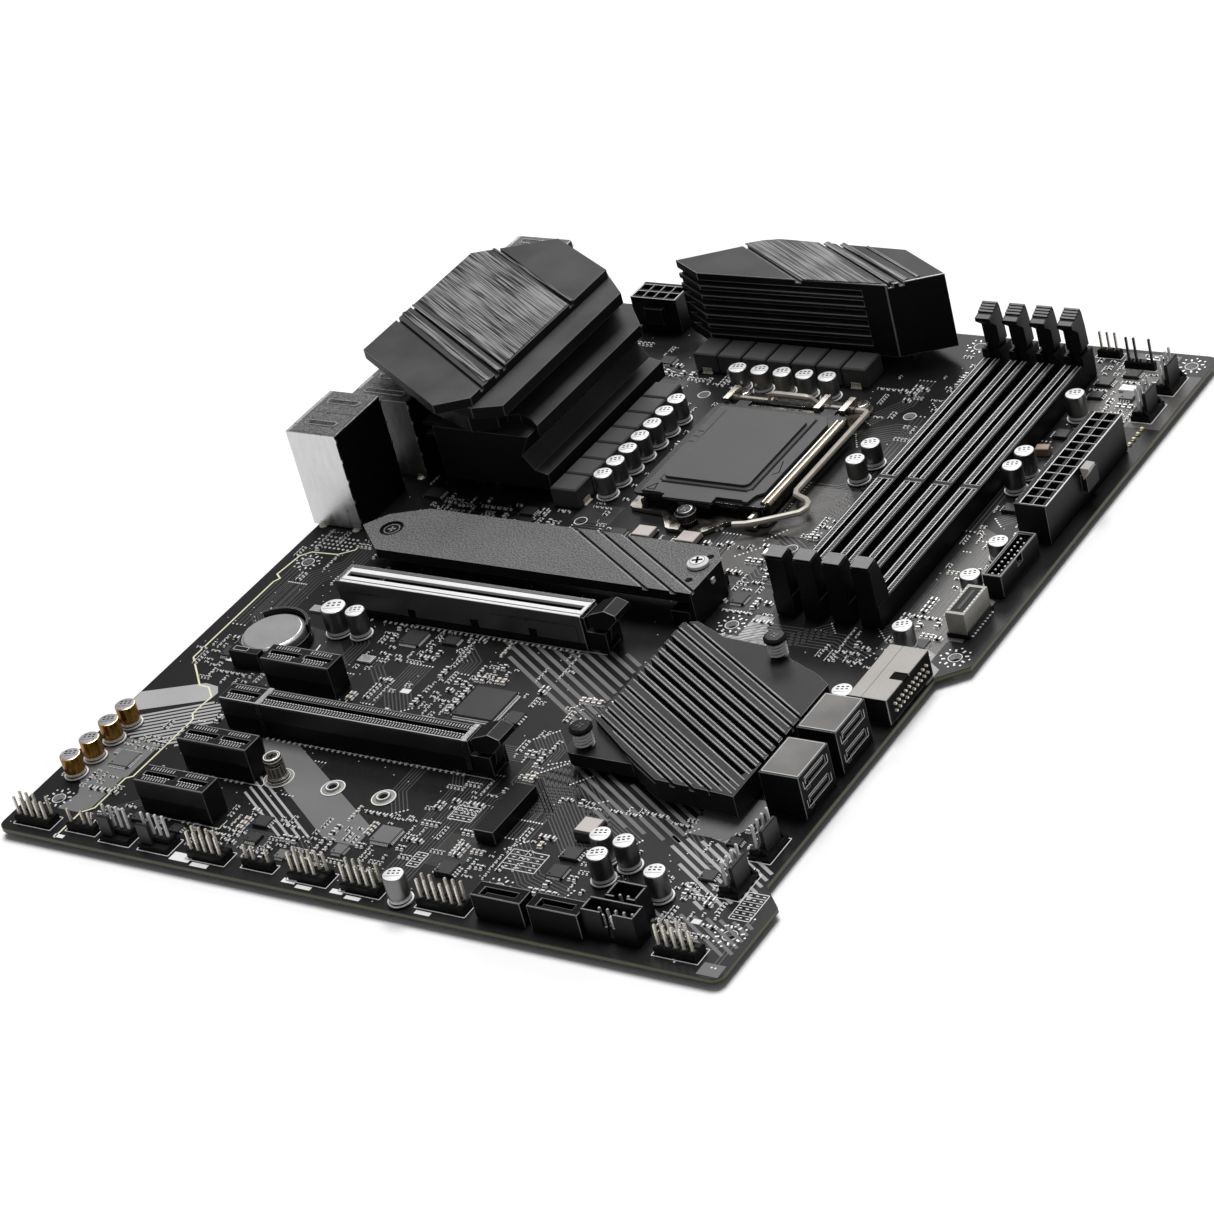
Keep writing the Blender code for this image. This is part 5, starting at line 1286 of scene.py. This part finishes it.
def make_socket_trim():
    rail = Group("load_plate_rail", "load_plate")
    lobe = [(0.9 * math.cos(math.pi * k / 6), 1.0 * math.sin(math.pi * k / 6)) for k in range(7)]
    # two lobes catch the light; the warm tone of the second is a painted reflection
    for at, key in ((147.2, "steel"), (149.0, "warm_steel")):
        rail[key].extrude([(at + u, 5.9 + v) for u, v in lobe], (192.4, 239.4), "Y")
    rail["plate_steel"].extrude([(146.4, 5.95), (149.8, 5.95), (149.6, 5.5), (146.6, 5.5)],
                                (192.4, 239.4), "Y")
    rail.build()
    cover = Group("cover_trim", "cover")
    cover["cover"].prism([(108.4, 197.2), (109.4, 196.4), (139.6, 196.4), (140.8, 197.6), (140.8, 237.6),
                          (139.8, 238.4), (109.4, 238.4), (108.4, 237.6)], (7.0, 7.55), 0.25)
    for at in ((108.1, 197.0, 108.1, 238.0), (109.2, 196.1, 140.0, 196.1), (141.1, 197.2, 141.1, 238.0)):
        cover["dark_ink"].strip([at[:2], at[2:]], 0.35, (7.0, 7.14))
    for line in ([(106.3, 192.0), (108.6, 195.2)], [(108.6, 195.2), (109.4, 191.6)],
                 [(109.4, 191.6), (106.3, 192.0)], [(106.0, 189.9), (106.0, 191.4)],
                 [(106.4, 190.6), (112.4, 190.6)], [(137.2, 190.8), (142.6, 190.8)],
                 [(142.4, 214.0), (144.2, 208.0)], [(144.2, 208.0), (142.6, 206.4)],
                 *[[(105.4, y), (107.4, y)] for y in (219.0, 222.0, 225.0)]):
        cover["dark_ink"].strip(line, 0.32, (7.0, 7.15))
    cover.build()
    group = Group("socket_trim")
    comb(group["gold"], (109.5, 140.5), (199.5, 230.0), 1.1, 0.45, (2.0, 2.25))
    cross_head(group, 124.5, 184.4, span("socket_shoulder_screw")[2][1], 1.3, "dull_steel", 0.7, "dull_steel")
    return group


M2_GROOVES = (121.1, 130.5, 138.9)
M2_SCREWS = {"left": (41.4, 148.3), "right": (150.9, 150.8)}


def make_sink_trim():
    tops = Group("heatsink_trim")
    z = span("vrm_heatsink_io")[2][1]
    tops["brushed"].prism([(2.0, 232.4), (56.8, 201.2), (56.8, 238.4), (6.9, 266.2), (2.0, 263.6)],
                          lid(z, 0.3), 0.15)
    for a, b, wide in (((2.0, 225.2), (57.0, 191.6), 2.6), ((2.0, 229.8), (57.0, 197.8), 1.3),
                       ((8.6, 267.6), (57.0, 240.6), 0.9)):
        tops["brushed"].strip([a, b], wide, lid(z, 0.35))
    z = span("vrm_heatsink_top")[2][1]
    tops["soft_brushed"].prism([(84.4, 299.6), (117.0, 280.6), (144.4, 282.0), (108.8, 303.8),
                                (96.0, 304.0), (90.0, 302.6)], lid(z, 0.3), 0.15)
    for a, b, wide in (((112.4, 303.9), (147.0, 283.4), 1.8), ((118.4, 303.9), (151.4, 285.6), 1.6),
                       ((127.8, 303.4), (154.4, 288.0), 1.0)):
        tops["soft_brushed"].strip([a, b], wide, lid(z, 0.35))
    z = span("m2_heatsink")[2][1]
    # dark discs for the two holes: painted shade
    for x, y in ((152.2, 155.5), (152.1, 143.3)):
        tops["dark_ink"].lathe((x, y), [(1.15, z - 0.3), (1.15, z + 0.06)], 16)
    plate = [(100.0, 137.2), (156.0, 137.2), (156.0, 154.4), (151.6, 160.4), (90.0, 160.4)]
    # two pale strips along each groove's edges: painted highlights
    for x in M2_GROOVES:
        for shift, key in ((-1.25, "machined"), (1.1, "soft_edge")):
            ends = clipped(plate, (x + shift, 148.8), DIAGONAL)
            tops[key].strip(ends, 0.26, lid(z, 0.04))
    # small bright mark on the end face: painted highlight
    tops["bright"].box((156.1, 156.9), (147.6, 149.2), (8.4, 10.0), 0.05)
    screw, top = M2_SCREWS["right"], span("m2_heatsink_screw_right")[2][1]
    cross_head(tops, *screw, top + 0.05, 1.6)
    tops["nickel"].washer(screw, (2.1, 2.35), lid(top, 0.02, 0.35))
    screw, top = M2_SCREWS["left"], span("m2_heatsink_screw_left")[2][1]
    cross_head(tops, *screw, top, 1.3, "machined", 0.3)
    # dark ring round the screw: painted shade in its recess
    tops["dark_ink"].washer(screw, (3.35, 3.85), lid(z, 0.05, 0.3))
    tops["machined"].washer(screw, (2.35, 2.6), lid(top, 0.03, 0.3))
    for node, x, y in (("chipset_screw_left", 160.8, 70.8), ("chipset_screw_right", 195.7, 118.9)):
        cross_head(tops, x, y, span(node)[2][1], 1.2, "dark_pin", 0.5)
    z = span("chipset_heatsink")[2][1]
    body = [(159.6, 126.2), (163.0, 127.4), (175.0, 122.2), (190.0, 121.0), (210.4, 112.2), (215.4, 109.0),
            (215.4, 59.4), (190.8, 60.8), (181.6, 66.0), (159.6, 81.2)]
    fall = math.hypot(1.0, DIAGONAL)
    # pale strips along the fin edges: bright machined edges, with a painted highlight on them
    for at in [0.0, 3.6] + [7.4 + 3.3 * k for k in range(6)] + [28.2 + 3.0 * k for k in range(7)]:
        deep = 7 < at < 27
        for side in (-1, 1):
            away = at + side * (1.1 if deep else 0.72)
            through = (187.5, 111.5 - away * fall)
            ends = clipped(body, through, DIAGONAL)
            if ends and math.dist(*ends) > 3.0:
                tops["fin_edge"].strip(ends, 0.3, lid(z, 0.06))
    return tops


def make_m2_hardware():
    """The knurled drive post and the two bare drive rings on the lower bay; pale washers are painted
    highlights on their rims and dark discs painted shade in the ring holes.
    """
    group = Group("drive_hardware")
    x, y, top = 72.2, 42.2, span("m2_standoff")[2][1]
    for k in range(14):
        turn = 2 * math.pi * k / 14
        group["nickel"].block(x + 2.55 * math.cos(turn), y + 2.55 * math.sin(turn), 0.5, 0.42,
                              (1.6, 5.4), 0.1, turn)
    group["dull_steel"].lathe((x, y), [(3.2, 0.0), (3.4, 0.35), (3.2, 0.9), (2.6, 1.1)], 28)
    group["pale_gold"].washer((x, y), (3.3, 3.55), (0.3, 0.5))
    group["nickel"].lathe((x, y), [(4.6, SUNK), (4.6, 0.05), (3.0, 0.06)], 28)
    # pale washers: painted highlights on the post's rims
    for low, high, z in ((4.35, 4.6, 0.1), (2.2, 2.5, top)):
        group["bright"].washer((x, y), (low, high), lid(z, 0.03))
    cross_head(group, x, y, top, 1.1)
    for at in (91.7, 109.5):
        group["nickel"].lathe((at, y), [(3.6, SUNK), (3.6, 0.16), (3.3, 0.25), (2.3, 0.28), (1.9, 0.9),
                                        (1.6, 0.95), (1.25, 0.6)], 28)
        # pale washers: painted highlights on the ring's edges
        for low, high, z in ((3.3, 3.65, 0.22), (1.6, 1.95, 0.92)):
            group["bright"].washer((at, y), (low, high), lid(z, 0.05))
        # dark disc in the hole: painted shade
        group["dark_ink"].lathe((at, y), [(1.25, 0.1), (1.25, 0.62)], 16)
    claim((87.0, 114.0), (38.0, 46.6))
    return group


make_print().build()
cans, chokes, pins, posts = make_cans(), make_chokes(), make_headers(), make_m2_hardware()
for row in PACKAGES:
    package(*row)
for area in CLUSTERS:
    scatter(*area)
make_copper().build()
make_latch_ridges()
for group in (cans, chokes, pins, posts, parts, make_slots(), make_connectors(), make_ports(),
              make_socket_trim(), make_sink_trim()):
    group.build()


# ---- camera, floor and light ----

camera = bpy.data.objects.new("camera", bpy.data.cameras.new("camera"))
camera.location = (0.574705, -0.692762, 0.543196)
camera.rotation_euler = Euler([math.radians(a) for a in (57.8766, 12.9306, 32.1138)])
camera.data.lens = 105.885
camera.data.sensor_width = 36.0
scene.collection.objects.link(camera)
scene.camera = camera
scene.view_settings.view_transform = "Standard"

floor_mesh = bpy.data.meshes.new("floor")
floor_mesh.from_pydata([(x, y, -0.0001) for x, y in rect(0.0, 0.0, 8.0, 8.0)], [], [(0, 1, 2, 3)])
floor = bpy.data.objects.new("floor", floor_mesh)
scene.collection.objects.link(floor)
pale = finish(0.86, 0.9, (0.6, 0.75), grain=40.0, bump=0.0, specular=0.2)
pale.name = "floor"
floor_mesh.materials.append(pale)

world = bpy.data.worlds.new("studio")
scene.world = world
world.use_nodes = True
world.node_tree.nodes["Background"].inputs["Color"].default_value = (1.0, 1.0, 1.0, 1.0)
world.node_tree.nodes["Background"].inputs["Strength"].default_value = 0.2


def area_light(name, place, aim, size, power):
    lamp = bpy.data.lights.new(name, "AREA")
    lamp.shape = "RECTANGLE"
    lamp.size, lamp.size_y = size
    lamp.energy = power
    made = bpy.data.objects.new(name, lamp)
    made.location = place
    made.rotation_euler = (Vector(aim) - Vector(place)).to_track_quat("-Z", "Y").to_euler()
    scene.collection.objects.link(made)


sun = bpy.data.lights.new("key", "SUN")
sun.energy = 3.1
sun.angle = math.radians(30)
key_light = bpy.data.objects.new("key", sun)
key_light.rotation_euler = Vector((0.12, -0.42, -1.5)).to_track_quat("-Z", "Y").to_euler()
scene.collection.objects.link(key_light)
area_light("back", (-0.72, 1.6, 1.25), (0.05, 0.05, 0.0), (0.9, 0.8), 9)
